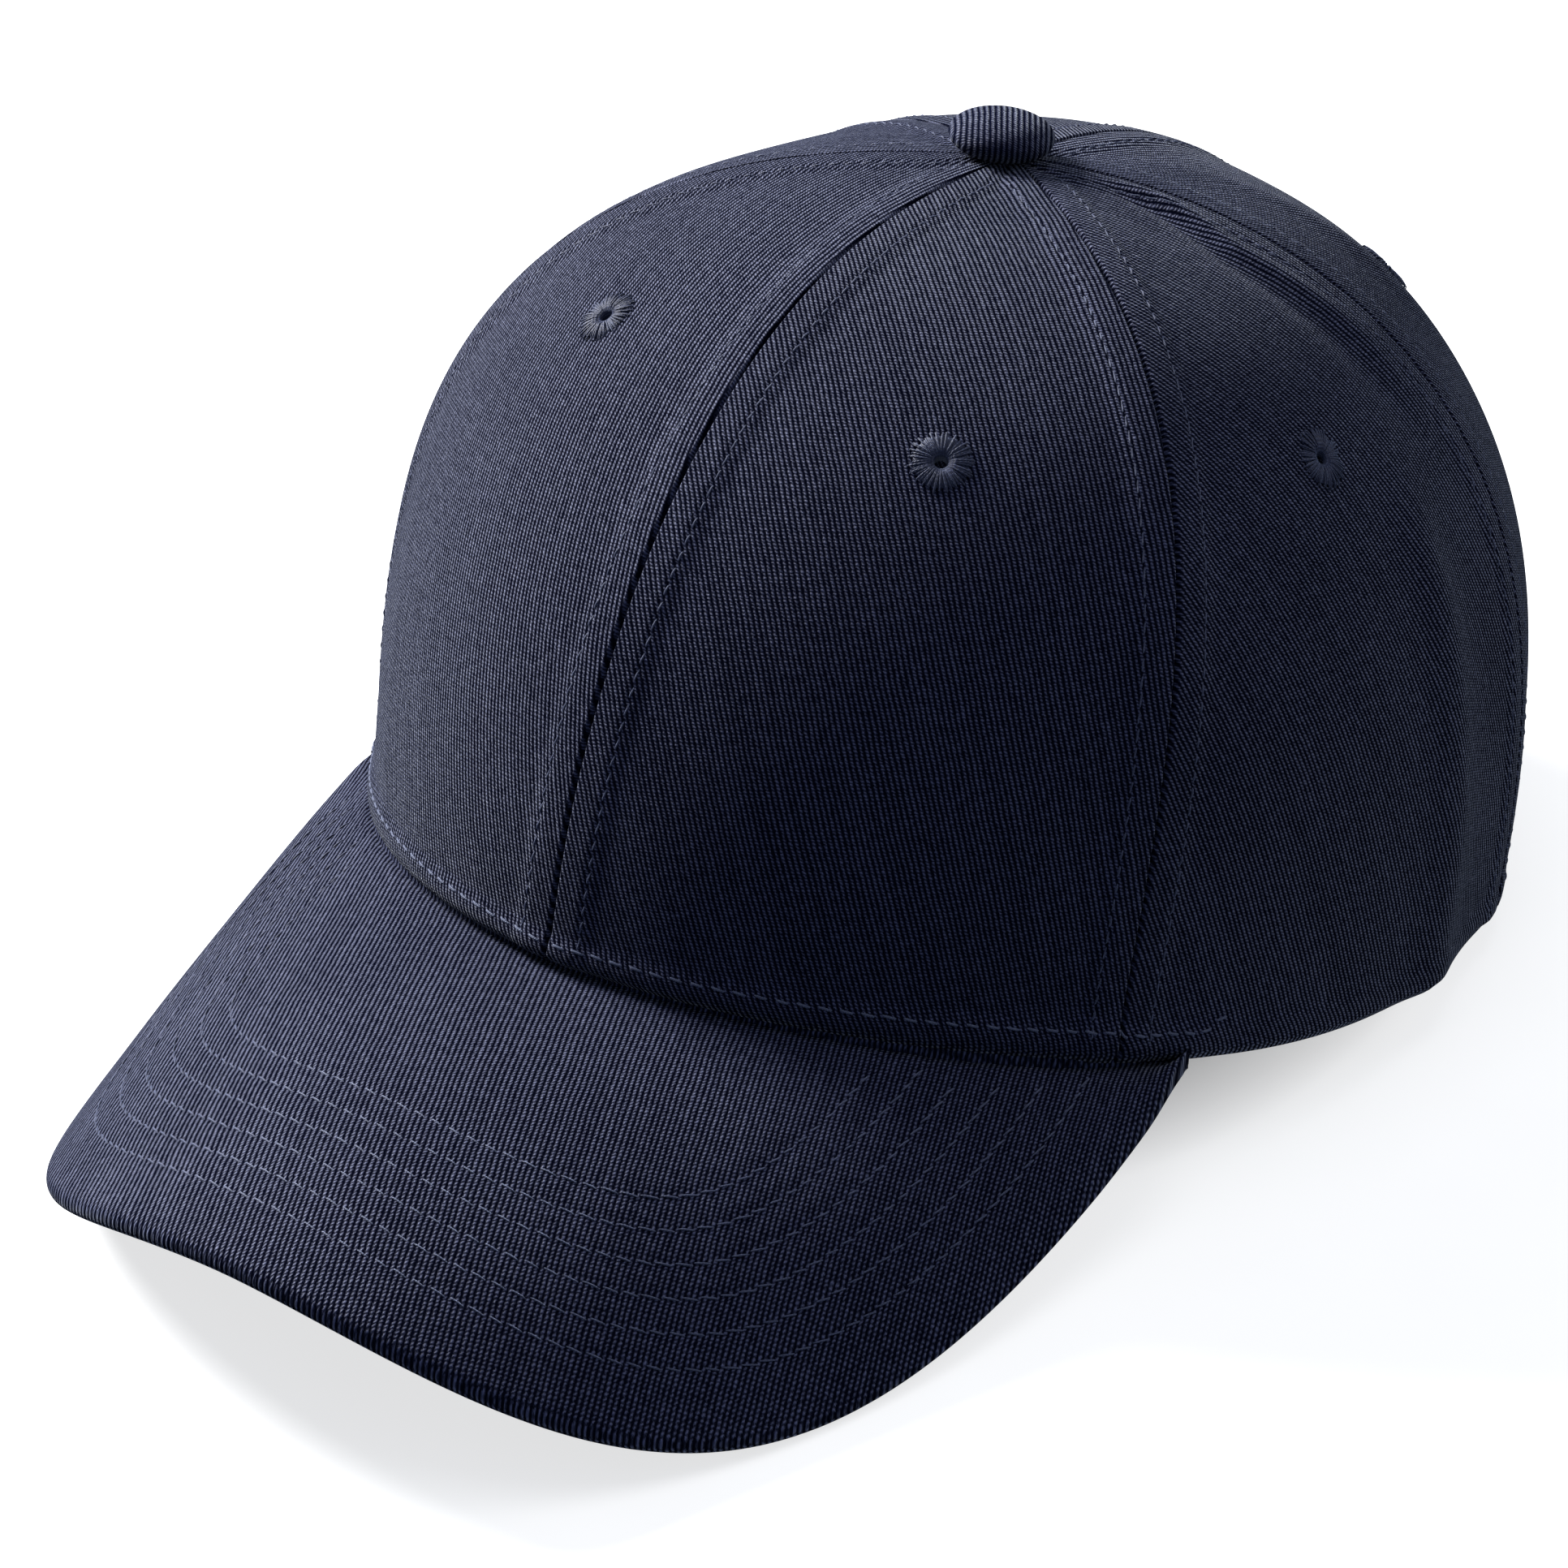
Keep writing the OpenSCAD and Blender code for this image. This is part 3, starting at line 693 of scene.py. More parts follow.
def thread(name, colour, sheen=0.4, gloss=0.4):
    """Twisted sewing thread: u runs along it in millimetres, v round it from 0 to 1."""
    n = Nodes(name)
    vector, u, v = n.uv()
    twist = n.times_plus(u, 2.2, n.times(v, 2.0))
    ply = n.math("ABSOLUTE", n.math("SINE", n.times(twist, math.pi)))
    tone = n.vary(ply, n.noise(n.place(), 260.0, 2.0), 0.7)
    tint = n.blend(n.ramp(tone, 0.0, 1.1), shade(colour, 0.5), shade(colour, 1.3))
    return n.finish(tint, 0.6, n.bump(ply, 0.06, 0.7), Sheen_Weight=sheen, Sheen_Roughness=0.3,
                    Sheen_Tint=[0.55, 0.65, 0.95, 1.0], Specular_IOR_Level=gloss)


def metal(name, colour, rough=0.32):
    """Stamped, plated and lightly brushed metal with handling marks and darker hollows."""
    n = Nodes(name)
    place = n.place()
    stretched = n.add("ShaderNodeMapping", inputs={"Vector": place, "Scale": (0.15, 0.15, 1.0)}).outputs[0]
    brush = n.noise(stretched, 9000.0, 3.0, 0.6)
    marks = n.noise(place, 420.0, 5.0, 0.65)
    wear = n.ramp(marks, 0.35, 0.7)
    tint = n.blend(wear, shade(colour, 0.55), shade(colour, 1.0))
    gloss = n.times_plus(brush, 0.16, n.times_plus(marks, 0.2, rough - 0.18))
    height = n.times_plus(brush, 0.4, marks)
    return n.finish(tint, gloss, n.bump(height, 0.02, 0.5), Metallic=1.0)


def plastic(name, colour):
    """Moulded sheet with a fine grain."""
    n = Nodes(name)
    place = n.place()
    grain = n.noise(place, 2500.0, 3.0, 0.6)
    cloud = n.noise(place, 90.0, 3.0)
    tint = n.blend(cloud, shade(colour, 0.92), shade(colour, 1.04))
    return n.finish(tint, n.times_plus(grain, 0.2, 0.42), n.bump(grain, 0.03, 0.5))


NAVY = (0.0064, 0.0086, 0.0285)
MATERIALS = {
    "front": twill("twill_front", NAVY, -22),
    "side": twill("twill_side", NAVY, -28, 0.82),
    "back": twill("twill_back", NAVY, -24, 0.8),
    "visor": twill("twill_visor", NAVY, 24, 0.81),
    "button": twill("twill_button", NAVY, 0, 0.86, 0.85),
    "trim": twill("twill_trim", NAVY, 35, 0.75),
    "band": twill("twill_band", (0.010, 0.012, 0.027), 30, 0.7, 0.7),
    "tape": plain_weave("woven_tape", (0.010, 0.012, 0.028), 0.45),
    "buckram": plain_weave("buckram", (0.60, 0.59, 0.55), 0.8, depth=0.2, open_weave=1.0),
    "thread": thread("sewing_thread", (0.026, 0.032, 0.070)),
    "rim_thread": thread("rim_thread", (0.036, 0.045, 0.088)),
    "satin": thread("satin_thread", (0.010, 0.014, 0.040), 0.3, 0.3),
    "board": plastic("visor_plastic", (0.72, 0.72, 0.69)),
    "brass": metal("antique_brass", (0.80, 0.60, 0.29), 0.3),
    "tin": metal("tinplate", (0.62, 0.62, 0.60), 0.28),
}


# ---- crown panels ----
def arch_share(t):
    """The share of a back panel that the arched opening takes at height t."""
    inside = np.sqrt(np.clip(1 - (t / OPENING_TOP) ** 2, 0, None))
    return np.where(t < OPENING_TOP, OPENING_ANGLE / (180 - SEAM_ANGLE[2]) * inside, 0.0)


def panel_piece(j, side, rows=158, cols=104):
    """One crown panel: a sewn outer face, and an inner face that closes the crease."""
    ruler = RULERS[j]
    rise = np.interp(np.linspace(0, 1, rows) * ruler.height(0.988), ruler.up, ruler.t)
    q = np.linspace(0, 1, cols)
    across = q - 0.75 * np.sin(2 * math.pi * q) / (2 * math.pi)
    t = np.broadcast_to(rise[:, None], (rows, cols))
    edge = np.minimum(CREASE / ruler.width(t), 0.08)
    arch = arch_share(t) if j == 2 else 0
    s = edge + across[None, :] * (1 - 2 * edge - arch)
    outer = crown(j, side, s, t)
    dips = np.minimum(relief(j, side, s, t), 0.0)
    inner = crown(j, side, across[None, :] * (1 - arch), t, -CLOTH + 0.35 * dips, plain=True)
    uv = join((ruler.from_seam(s, t) - ruler.width(t) / 2) * side, ruler.height(t))
    keep = open_hole(outer, inner, side, j)
    name = f"{PANEL_NAMES[j]}_panel_{SIDE_NAMES[side]}"
    cloth_piece(name, outer, inner, uv, PANEL_NAMES[j], 60, keep, mirrored=side < 0)


def open_hole(outer, inner, side, j, radius=0.0019):
    """Finds the cells outside the eyelet's hole, and pushes the points within it out to its edge."""
    centre, _, _, axis = eyelet_frame(j, side)
    centre, axis = stand(centre), turn(axis)
    for grid in (inner, outer):
        away = grid - centre
        flat = away - (away @ axis)[..., None] * axis
        r = np.linalg.norm(flat, axis=-1)
        near = (r < radius) & (np.linalg.norm(away, axis=-1) < 0.01)
        grid[near] += (flat / np.maximum(r, 1e-6)[..., None] * (radius - r)[..., None])[near]
    middle = (r[:-1, :-1] + r[1:, :-1] + r[:-1, 1:] + r[1:, 1:]) / 4
    close = np.linalg.norm(away, axis=-1)[:-1, :-1] < 0.01
    return ~((middle < radius) & close)


def stiffener_piece(side):
    """The buckram behind a front panel."""
    t = np.linspace(0.07, 0.89, 120)[:, None]
    s = np.linspace(0.008, 0.992, 90)[None, :]
    t, s = np.broadcast_arrays(t, s)
    outer = crown(0, side, s, t, -CLOTH - LAYER_GAP, plain=True)
    inner = crown(0, side, s, t, -CLOTH - LAYER_GAP - STIFFENER, plain=True)
    uv = join(RULERS[0].from_seam(s, t), RULERS[0].height(t))
    keep = open_hole(outer, inner, side, 0)
    name = f"front_stiffener_{SIDE_NAMES[side]}"
    cloth_piece(name, outer, inner, uv, "buckram", keep=keep, mirrored=side < 0)


def seam_rows(j, side, which):
    """The row of stitches beside one seam of a panel."""
    ruler = RULERS[j]
    last = np.interp(2 * TOPSTITCH + 1.0, ruler.across[::-1, -1], ruler.t[::-1])
    over_opening = j == 2 and which < 0
    first = OPENING_TOP + 0.05 if over_opening else 0.006
    t = np.interp(np.linspace(ruler.height(first), ruler.height(last), 400), ruler.up, ruler.t)
    s = ruler.share(which * TOPSTITCH, t)
    return crown(j, side, s, t), crown_normal(j, side, s, t)


def crown_stitches():
    """A row of stitches on each side of every crown seam."""
    rows = [seam_rows(j, side, which) for j in range(3) for side in SIDES for which in (1, -1)]
    stitches("crown_topstitching", rows, SEAM_PITCH, 0.14, 0.82)


def rim_stitches():
    """One line above the visor, ending in a short tack up and back on each side."""
    rows = []
    for side in SIDES:
        phi = np.linspace(0.4, VISOR_ANGLE + 3.5, 260)
        points, normals = [], []
        for j in (0, 1):
            here = (phi >= SEAM_ANGLE[j]) & (phi < SEAM_ANGLE[j + 1])
            s = rim_share(j, phi[here])
            up = RIM_LINE + 2.2 * smooth(phi[here], VISOR_ANGLE, VISOR_ANGLE + 3.5)
            t = np.interp(up, RULERS[j].up, RULERS[j].t)
            points.append(crown(j, side, s, t, 0.02))
            normals.append(crown_normal(j, side, s, t))
        rows.append((np.concatenate(points), np.concatenate(normals)))
    stitches("rim_stitching", rows, RIM_PITCH, 0.21, 0.76, material="rim_thread")


# ---- seam tapes, inside ----
def tape_piece(k, side, name, low):
    """The tape over the allowances of seam k. Returns the two lines on it that stitches follow."""
    rise = np.linspace(low, 0.962, 90)
    outer, inner, uv = [], [], []
    for w in np.linspace(-1, 1, 13):
        after = w >= 0
        j, of = (k, side) if after else (k - 1, side)
        if k == 0:
            j, of = 0, (1 if after else -1)
        if k == 3:
            j, of = 2, (-1 if after else 1)
        from_first_seam = k == 0 or (after and k != 3)
        half = np.minimum(TAPE_WIDTH / 2, 0.4 * RULERS[j].width(rise))
        d = np.maximum(abs(w), 0.1) * half
        s = RULERS[j].share(d if from_first_seam else -d, rise)
        off = -CLOTH - STIFFENER - 0.45 - 0.22 * (1 - w * w)
        outer.append(crown(j, of, s, rise, off, plain=True))
        inner.append(crown(j, of, s, rise, off - TAPE_THICK, plain=True))
        uv.append(join(w * half, RULERS[j].height(rise)))
    outer, inner, uv = np.stack(outer, 1), np.stack(inner, 1), np.stack(uv, 1)
    cloth_piece(name, outer, inner, uv, "tape", mirrored=side < 0)
    lines = inner if side > 0 else inner[:, ::-1]
    return [lines[:, 1], lines[:, 11]]


def tapes():
    lines = tape_piece(0, 1, "centre_front_tape", 0.02)
    lines += tape_piece(3, 1, "centre_back_tape", OPENING_TOP + 0.055)
    for side in SIDES:
        lines += tape_piece(1, side, f"front_side_tape_{SIDE_NAMES[side]}", 0.02)
        lines += tape_piece(2, side, f"side_back_tape_{SIDE_NAMES[side]}", 0.02)
    rows = [(line, unit(middle_of_crown() - line)) for line in lines]
    stitches("tape_stitching", rows, 3.0, 0.16)


def middle_of_crown():
    return stand(np.array([0.0, 0.0, 30.0]))


# ---- sweatband ----
def sweatband_piece():
    """A soft folded band inside the rim, from one side of the back opening to the other."""
    end = 180 - OPENING_ANGLE - 0.6
    phi = np.linspace(-end, end, 420)[:, None]
    rise = np.linspace(0.004, 0.15, 22)[None, :]
    phi, t = np.broadcast_arrays(phi, rise)
    off = -2.75 - 0.45 * np.clip((np.abs(phi) - 118) / 20, 0, 1)
    k = (t - 0.004) / 0.146
    puff = 0.35 * np.sin(math.pi * k) ** 0.6 + 0.12 * waves(phi * 1.5, k * 30, 22, 1)
    edge = 0.35 * (1 - np.clip(np.minimum(k, 1 - k) / 0.05, 0, 1)) ** 2
    outer = stand(on_rim(phi, t, off - edge))
    inner = stand(on_rim(phi, t, off - BAND_THICK - puff + edge))
    along = lengths(outer[:, 0]) * 1000
    uv = join(along[:, None], k * 30)
    obj = cloth_piece("sweatband", outer, inner, uv, "band", sharp=60, mirrored=True)
    level = np.array([1, 1, 0.2])
    rows = [(line, unit((middle_of_crown() - line) * level)) for line in (inner[:, 2], inner[:, 19])]
    stitches("sweatband_stitching", rows, 3.2, 0.18)


# ---- visor ----
def visor_edge(u):
    """The visor's outer edge, for u from -1 at one end to 1 at the other."""
    angle = np.radians(90 * u)
    a = power(np.sin(angle), 2 / VISOR_ROUND[0])
    b = np.clip(np.cos(angle), 0, 1) ** (2 / VISOR_ROUND[1])
    end, x2, h = rim(VISOR_ANGLE), a * a, VISOR_EDGE
    x = a * (VISOR_HALF + (end[0] - VISOR_HALF) * (1 - b) ** 3)
    z = h[0] + h[1] * x2 + h[2] * x2 * x2 + h[3] * b * x2 + h[4] * b * x2 * x2
    return join(x, end[1] - VISOR_REACH * b, z)


def visor_mid(u, v):
    """The board's middle surface, from the rim at v = 0 to the edge at v = 1. Below 0 it is tucked in."""
    w, size = np.maximum(v, 0), visor_len(u)
    tucked = np.maximum(-v, 0) * size
    p = mix(rim(VISOR_ANGLE * u), visor_edge(u), w) - outward(VISOR_ANGLE * u) * tucked[..., None]
    p[..., 2] += 4 * w * (1 - w) * VISOR_CROWN - VISOR_DROP * (1 - w) * (0.3 + 0.7 * smooth(size, 2, 14))
    return p


def visor_normal(u, v):
    w, q, d = np.clip(v, 0.05, 0.95), np.clip(u, -0.93, 0.93), 0.01
    along = visor_mid(q + d, w) - visor_mid(q - d, w)
    back = visor_mid(q, w - d) - visor_mid(q, w + d)
    return unit(np.cross(along, back))


def visor_len(u):
    return np.linalg.norm(visor_edge(u) - rim(VISOR_ANGLE * u), axis=-1)


VISOR_OUTLINE = visor_edge(np.linspace(-1, 1, 1201))


def to_outline(p):
    """Distance from points to the visor's outer edge."""
    flat = p.reshape(-1, 3)
    near = np.concatenate([np.linalg.norm(part[:, None] - VISOR_OUTLINE[None], axis=-1).min(1)
                           for part in np.array_split(flat, max(1, len(flat) // 2000))])
    return near.reshape(p.shape[:-1])


def visor_relief(p, d, k):
    """Rows of stitches pull the cloth down on the board, so it swells a little between them."""
    out = 0.10 * waves(p[..., 0], p[..., 1], 40, 2 + k)
    pucker = 0.7 + 0.3 * np.cos(2 * math.pi * (p[..., 0] + p[..., 1]) / VISOR_PITCH)
    for i in range(VISOR_ROWS):
        out = out - VISOR_PULL * ridge(d, VISOR_ROW_FIRST + i * VISOR_ROW_STEP, 0.55) * pucker
    return out


def visor_columns(count, limit):
    """Shares along the visor, closer together towards its ends."""
    q = np.linspace(-limit, limit, count)
    return q * (1.5 - 0.5 * q * q)


def flat_uv(p):
    """The visor's cloth laid flat: its sides slope, so it is wider than it looks from above."""
    return join(p[..., 0] + 1.67e-5 * p[..., 0] ** 3, -p[..., 1])


def visor_cover(k, name, rows=240, flat_cols=84, round_cols=9):
    """The cloth on one face of the board, from its outer edge to the allowance sewn up inside the crown."""
    u = visor_columns(rows, 0.962)[:, None]
    size = visor_len(u)
    r = VISOR_THICK / 2 * (0.2 + 0.8 * smooth(size, 2, 14))
    r_in = 0.74 * r
    v = -1.2 / size + (1 - r / size + 1.2 / size) * np.linspace(0, 1, flat_cols)[None, :]
    v, uu = np.broadcast_arrays(v, u)
    p, n = visor_mid(uu, v), visor_normal(uu, v)
    d = to_outline(p)
    bump = visor_relief(p, d, k) * smooth(d, r, 6.0)
    angle, ur = np.broadcast_arrays(np.radians(np.linspace(84, 3, round_cols)[None, :]), u)
    sewn_t, sewn_u = np.broadcast_arrays(np.linspace(0.05, 0.006, 7)[None, :], VISOR_ANGLE * u)
    offs = (-1.3, -1.75) if k > 0 else (-2.55, -2.1)
    faces = []
    for off, thick, around in ((offs[0], r + bump, r), (offs[1], r_in, r_in)):
        at = 1 - (r - around * np.cos(angle)) / size
        rolled = visor_mid(ur, at) + visor_normal(ur, at) * (k * around * np.sin(angle))[..., None]
        flat = p + n * (k * thick)[..., None]
        faces.append(np.concatenate([on_rim(sewn_u, sewn_t, off), flat, rolled], 1))
    outer, inner = faces
    uv = flat_uv(outer)
    outer, inner = stand(outer), stand(inner)
    if k < 0:
        outer, inner, uv = outer[::-1], inner[::-1], uv[::-1]
    cloth_piece(name, outer, inner, uv, "visor", 70)


def visor_rows():
    """For each row of stitches, its points at a set distance from the visor's edge, as shares u and v."""
    u, grid_v = visor_columns(260, 0.97), np.linspace(0.0, 1, 60)
    uu, vv = np.meshgrid(u, grid_v, indexing="ij")
    d = to_outline(visor_mid(uu, vv))
    for i in range(VISOR_ROWS):
        distance, points = VISOR_ROW_FIRST + i * VISOR_ROW_STEP, []
        for at, row in zip(u, d):
            inside = np.where(row >= distance)[0]
            if len(inside) and inside[-1] + 1 < len(grid_v):
                last = inside[-1]
                f = (row[last] - distance) / (row[last] - row[last + 1])
                points.append((at, grid_v[last] + f * (grid_v[last + 1] - grid_v[last])))
        yield np.array(points).T


def visor_stitches():
    """The same rows on the top and the underside."""
    shares = list(visor_rows())
    for k, name in ((1, "visor_top_stitching"), (-1, "visor_under_stitching")):
        rows = []
        for u, v in shares:
            n = visor_normal(u, v)
            rows.append((stand(visor_mid(u, v) + n * (k * (VISOR_THICK / 2 - 0.12))), turn(n * k)))
        stitches(name, rows, VISOR_PITCH, 0.15, 0.9, 1.5)


# ---- button ----
def button_piece():
    """A puffed dome that curls under, with the cloth gathered round its underside."""
    lat = np.radians(np.linspace(-66, 89, 40))[:, None]
    lon = np.linspace(0, 2 * math.pi, 120, endpoint=False)[None, :]
    r = BUTTON_R * np.cos(lat) ** 0.9
    z = BUTTON_H / 2 * (1 + np.sin(lat)) + 0.05
    gather = 0.16 * np.cos(26 * lon + 0.9 * np.sin(3 * lon)) * (1 - smooth(lat, -0.9, -0.05))
    loops = join((r + gather) * np.cos(lon), (r + gather) * np.sin(lon), z)
    ribs = math.radians(35)
    arc = (math.pi / 2 - lat) * BUTTON_R * 0.92
    across = loops[..., 0] * math.cos(ribs) + loops[..., 1] * math.sin(ribs)
    uv = join(across, arc * np.sin(lon - ribs))
    loft("button_cover", stand(loops + APEX + BUTTON_SHIFT), uv, "button", 70)


# ---- eyelets ----
def eyelet_frame(j, side):
    """The eyelet's centre and its three directions; the last points out of the cloth."""
    s, t = EYELET_AT[j]
    s, t = np.array(s), np.array(t - (side * EYELET_SKEW / 2 if j == 0 else 0))
    z = skin_normal(j, s, t)
    x = unit(np.cross([0, 0, 1.0], z))
    y = np.cross(z, x)
    at = skin(j, s, t) + z * float(relief(j, side, s, t))
    mirror = np.array([side, 1, 1])
    return at * mirror, x * mirror * side, y * mirror, z * mirror


def strands(paths, radii, sides):
    """Thin threads along many paths at once: points of shape (count, steps, 3)."""
    along = unit(np.gradient(paths, axis=1))
    up = unit(np.cross(along, [0.0, 0.0, 1.0]) + 1e-6)
    return paths[:, :, None] + circles(up, np.cross(along, up), sides) * radii[..., None, None]


def eyelet_piece(j, side, count=66):
    """A stitched eyelet: threads that run out from the hole, uneven in length, over a closed backing."""
    at, x, y, z = eyelet_frame(j, side)
    k = np.array([0.0, 0.0, 0.02, 0.28, 0.66, 0.97, 1.0])
    height = np.array([-1.85, -0.5, 0.05, 0.4, 0.32, 0.1, -0.2])
    steps, thread_sides = len(k), 5
    angle = 2 * math.pi * (np.arange(count) + 0.3 * rng.uniform(-1, 1, count)) / count
    reach = EYELET_R * (0.84 + 0.2 * rng.uniform(size=count))
    r = EYELET_HOLE + (reach - EYELET_HOLE)[:, None] * k
    angle = angle[:, None] + 0.07 * rng.uniform(-1, 1, count)[:, None] * k
    lift = height + 0.13 * rng.uniform(-1, 1, count)[:, None] * (k > 0.1)
    paths = join(r * np.cos(angle), r * np.sin(angle), lift)
    radii = np.interp(r, [EYELET_HOLE, 2.2, EYELET_R], [0.075, 0.15, 0.125])
    tubes = strands(paths, radii, thread_sides)
    points = steps * thread_sides
    faces = copies(grid_faces(steps, thread_sides, wrap=True), count, points)
    along, around = 0.9 * np.arange(steps), np.arange(thread_sides) / thread_sides
    uv = join(along[None, :, None], around[None, None, :])
    uv = np.broadcast_to(uv, (count, steps, thread_sides, 2)).reshape(-1, 2)
    backing = eyelet_backing()
    rings, around_ring = backing.shape[:2]
    behind = grid_faces(rings, around_ring, count * points, flip=True, wrap=True)
    local = np.concatenate([tubes.reshape(-1, 3), backing.reshape(-1, 3)])
    world = stand(at + local[:, :1] * x + local[:, 1:2] * y + local[:, 2:] * z)
    name = f"{PANEL_NAMES[j]}_eyelet_{SIDE_NAMES[side]}"
    uv = np.concatenate([uv, backing[..., :2].reshape(-1, 2)])
    return make(name, world, np.concatenate([faces, behind]), MATERIALS["satin"], uv, 80)


def eyelet_backing():
    """Rings of points for the cloth under the threads, from the tube through the hole to its rim."""
    ring = np.linspace(0, 2 * math.pi, 48, endpoint=False)
    radius = [EYELET_HOLE + 0.06, EYELET_HOLE + 0.1, 2.1, 3.2, 4.0, 4.05]
    height = [-1.8, -0.2, 0.22, 0.14, -0.05, -0.4]
    return np.stack([join(r * np.cos(ring), r * np.sin(ring), h) for r, h in zip(radius, height)])


# ---- binding round the back opening ----
def arch_points(a, w):
    """Rim angle and height on a line round the arch, w millimetres outside its edge."""
    deg_mm, rise_mm = 1.5, 172.0
    phi = 180 - (OPENING_ANGLE + w / deg_mm) * np.cos(a)
    return phi, (OPENING_TOP + w / rise_mm) * np.sin(a)


def binding_piece():
    """A strip folded over the opening's edge: outside, round the edge and back on the inside."""
    a = np.radians(np.linspace(0.6, 179.4, 150))
    side = join(np.where(a <= math.pi / 2, 1, -1), 1, 1)
    mirrored = np.where(a <= math.pi / 2, a, math.pi - a)
    fold = np.linspace(0, 1, 25)
    bends = [0, 0.38, 0.45, 0.5, 0.55, 0.62, 1]
    wide = np.interp(fold, bends, [1, 0.03, -0.11, -0.145, -0.11, 0.03, 1]) * BINDING
    offs = np.interp(fold, bends, [0.6, 0.68, 0.35, -0.4, -1.15, -1.5, -1.42])
    thick = np.interp(fold, [0, 0.42, 0.5, 0.58, 1], [0.38, 0.36, 0.4, 0.3, 0.28])
    outer, inner = [], []
    for w, off, th, f in zip(wide, offs, thick, fold):
        puff = 0.10 * math.sin(math.pi * min(f, 1 - f) / 0.45) if f < 0.5 else 0
        inside = th if f < 0.5 else -th
        round_edge = 0.5 if 0.4 < f < 0.6 else 0.0
        outer.append(stand(side * on_rim(*arch_points(mirrored, w), off + puff)))
        inner.append(stand(side * on_rim(*arch_points(mirrored, w + round_edge), off - inside)))
    outer, inner = np.stack(outer, 1), np.stack(inner, 1)
    along = lengths(outer[:, 12]) * 1000
    uv = join(along[:, None], (fold * 15)[None, :])
    cloth_piece("opening_binding", outer, inner, uv, "trim", sharp=70)
    rows = [(outer[:, col], unit(outer[:, col] - middle_of_crown())) for col in (2, 8)]
    stitches("binding_stitching", rows, 2.8, 0.17)


# ---- strap and keeper loop ----
def strap_radius(angle, r):
    """The strap's distance from its centre: a circle, flattened where the buckle sits."""
    away = np.abs(angle + BUCKLE_ANGLE)
    flat = r * math.cos(math.radians(FLAT_HALF)) / np.cos(np.radians(angle + BUCKLE_ANGLE))
    return np.where(away < FLAT_HALF, flat, r)


def strap_point(angle, r, z):
    rho, a = strap_radius(angle, r), np.radians(angle)
    return join(rho * np.sin(a), BACK_CENTRE + rho * np.cos(a), z)


def rounded_section(wide, thick, count=7):
    """Half-width and half-thickness outline of a pressed strap, as (across, out) pairs."""
    a = np.linspace(0, 2 * math.pi, 4 * count, endpoint=False) + math.pi / (4 * count)
    return join(power(np.cos(a), 0.12) * wide, power(np.sin(a), 0.35) * thick)


def strap_piece():
    """The strap, with a row of stitches along both of its edges, on both faces."""
    angle = np.linspace(39, -39, 170)
    section = rounded_section(STRAP_HIGH / 2 - 0.05, STRAP_THICK / 2 - 0.04)
    mid_z = STRAP_LOW + STRAP_HIGH / 2
    middle = STRAP_IN + STRAP_THICK / 2
    loops = np.stack([strap_point(angle, middle + out, mid_z + across) for across, out in section], 1)
    along = lengths(loops[:, 0])
    uv = join(along[:, None], section[None, :, 0])
    loft("strap", stand(loops), uv, "trim", 60)
    rows = []
    a = np.linspace(38, -38, 300)
    out = join(np.sin(np.radians(a)), np.cos(np.radians(a)), 0)
    for z in (-STRAP_HIGH / 2 + 1.8, STRAP_HIGH / 2 - 1.8):
        for depth, way in ((STRAP_THICK - 0.05, 1), (0.05, -1)):
            rows.append((stand(strap_point(a, STRAP_IN + depth, mid_z + z)), turn(way * out)))
    stitches("strap_stitching", rows, 2.8, 0.16)


def in_buckle(p):
    """From the buckle's own frame, x along the strap and y out from it, to the crown frame."""
    q = math.radians(BUCKLE_ANGLE)
    turned = np.array([[math.cos(q), -math.sin(q), 0], [math.sin(q), math.cos(q), 0], [0, 0, 1.0]])
    at = np.array([0, BACK_CENTRE, STRAP_LOW + STRAP_HIGH / 2])
    return (p + np.array([0, buckle_out(), 0])) @ turned.T + at


def buckle_out():
    """The distance from the strap's centre to its flat part, on the inside."""
    return STRAP_IN * math.cos(math.radians(FLAT_HALF))


def keeper_piece():
    """A loop of doubled cloth that holds the buckle by its bar."""
    bar_angle = BUCKLE_ANGLE + math.degrees(math.atan(-BAR_AT[0] / buckle_out()))
    k = np.linspace(0, 1, 12)
    legs = -30.6 + (30.6 - bar_angle - 0.6) * k

    def leg(near, far):
        return strap_point(legs, STRAP_IN + near + (far - near) * k, 0.0)

    def arc(r):
        a = np.radians(np.linspace(90, -90, 14))
        local = join(BAR_AT[0] + r * np.cos(a), BAR_AT[1] + r * np.sin(a), 0)
        return in_buckle(local) * np.array([1, 1, 0])

    outside = np.concatenate([leg(-0.15, -0.15), arc(1.78), leg(-1.62, -3.73)[::-1]])
    inside = np.concatenate([leg(-0.85, -0.85), arc(1.05), leg(-0.95, -3.02)[::-1]])
    levels = np.linspace(STRAP_LOW + 0.6, STRAP_LOW + STRAP_HIGH - 0.6, 12)
    outer, inner = (line[:, None] + join(0.0, 0.0, levels) for line in (outside, inside))
    uv = join(lengths(outside)[:, None], levels[None, :])
    cloth_piece("keeper_loop", stand(outer), stand(inner), uv, "trim", 60)


# ---- carried-over CAD nodes ----
def dress_nodes():
    """Gives the CAD parts that stay in the model their plastic and metal."""
    nodes = {"board": ("visor_board",),
             "tin": ("button_shell", "button_post", "button_washer"),
             "brass": ("buckle_frame", "buckle_pin", "buckle_lever")}
    for material, names in nodes.items():
        for name in names:
            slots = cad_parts[name].data.materials
            slots.clear()
            slots.append(MATERIALS[material])


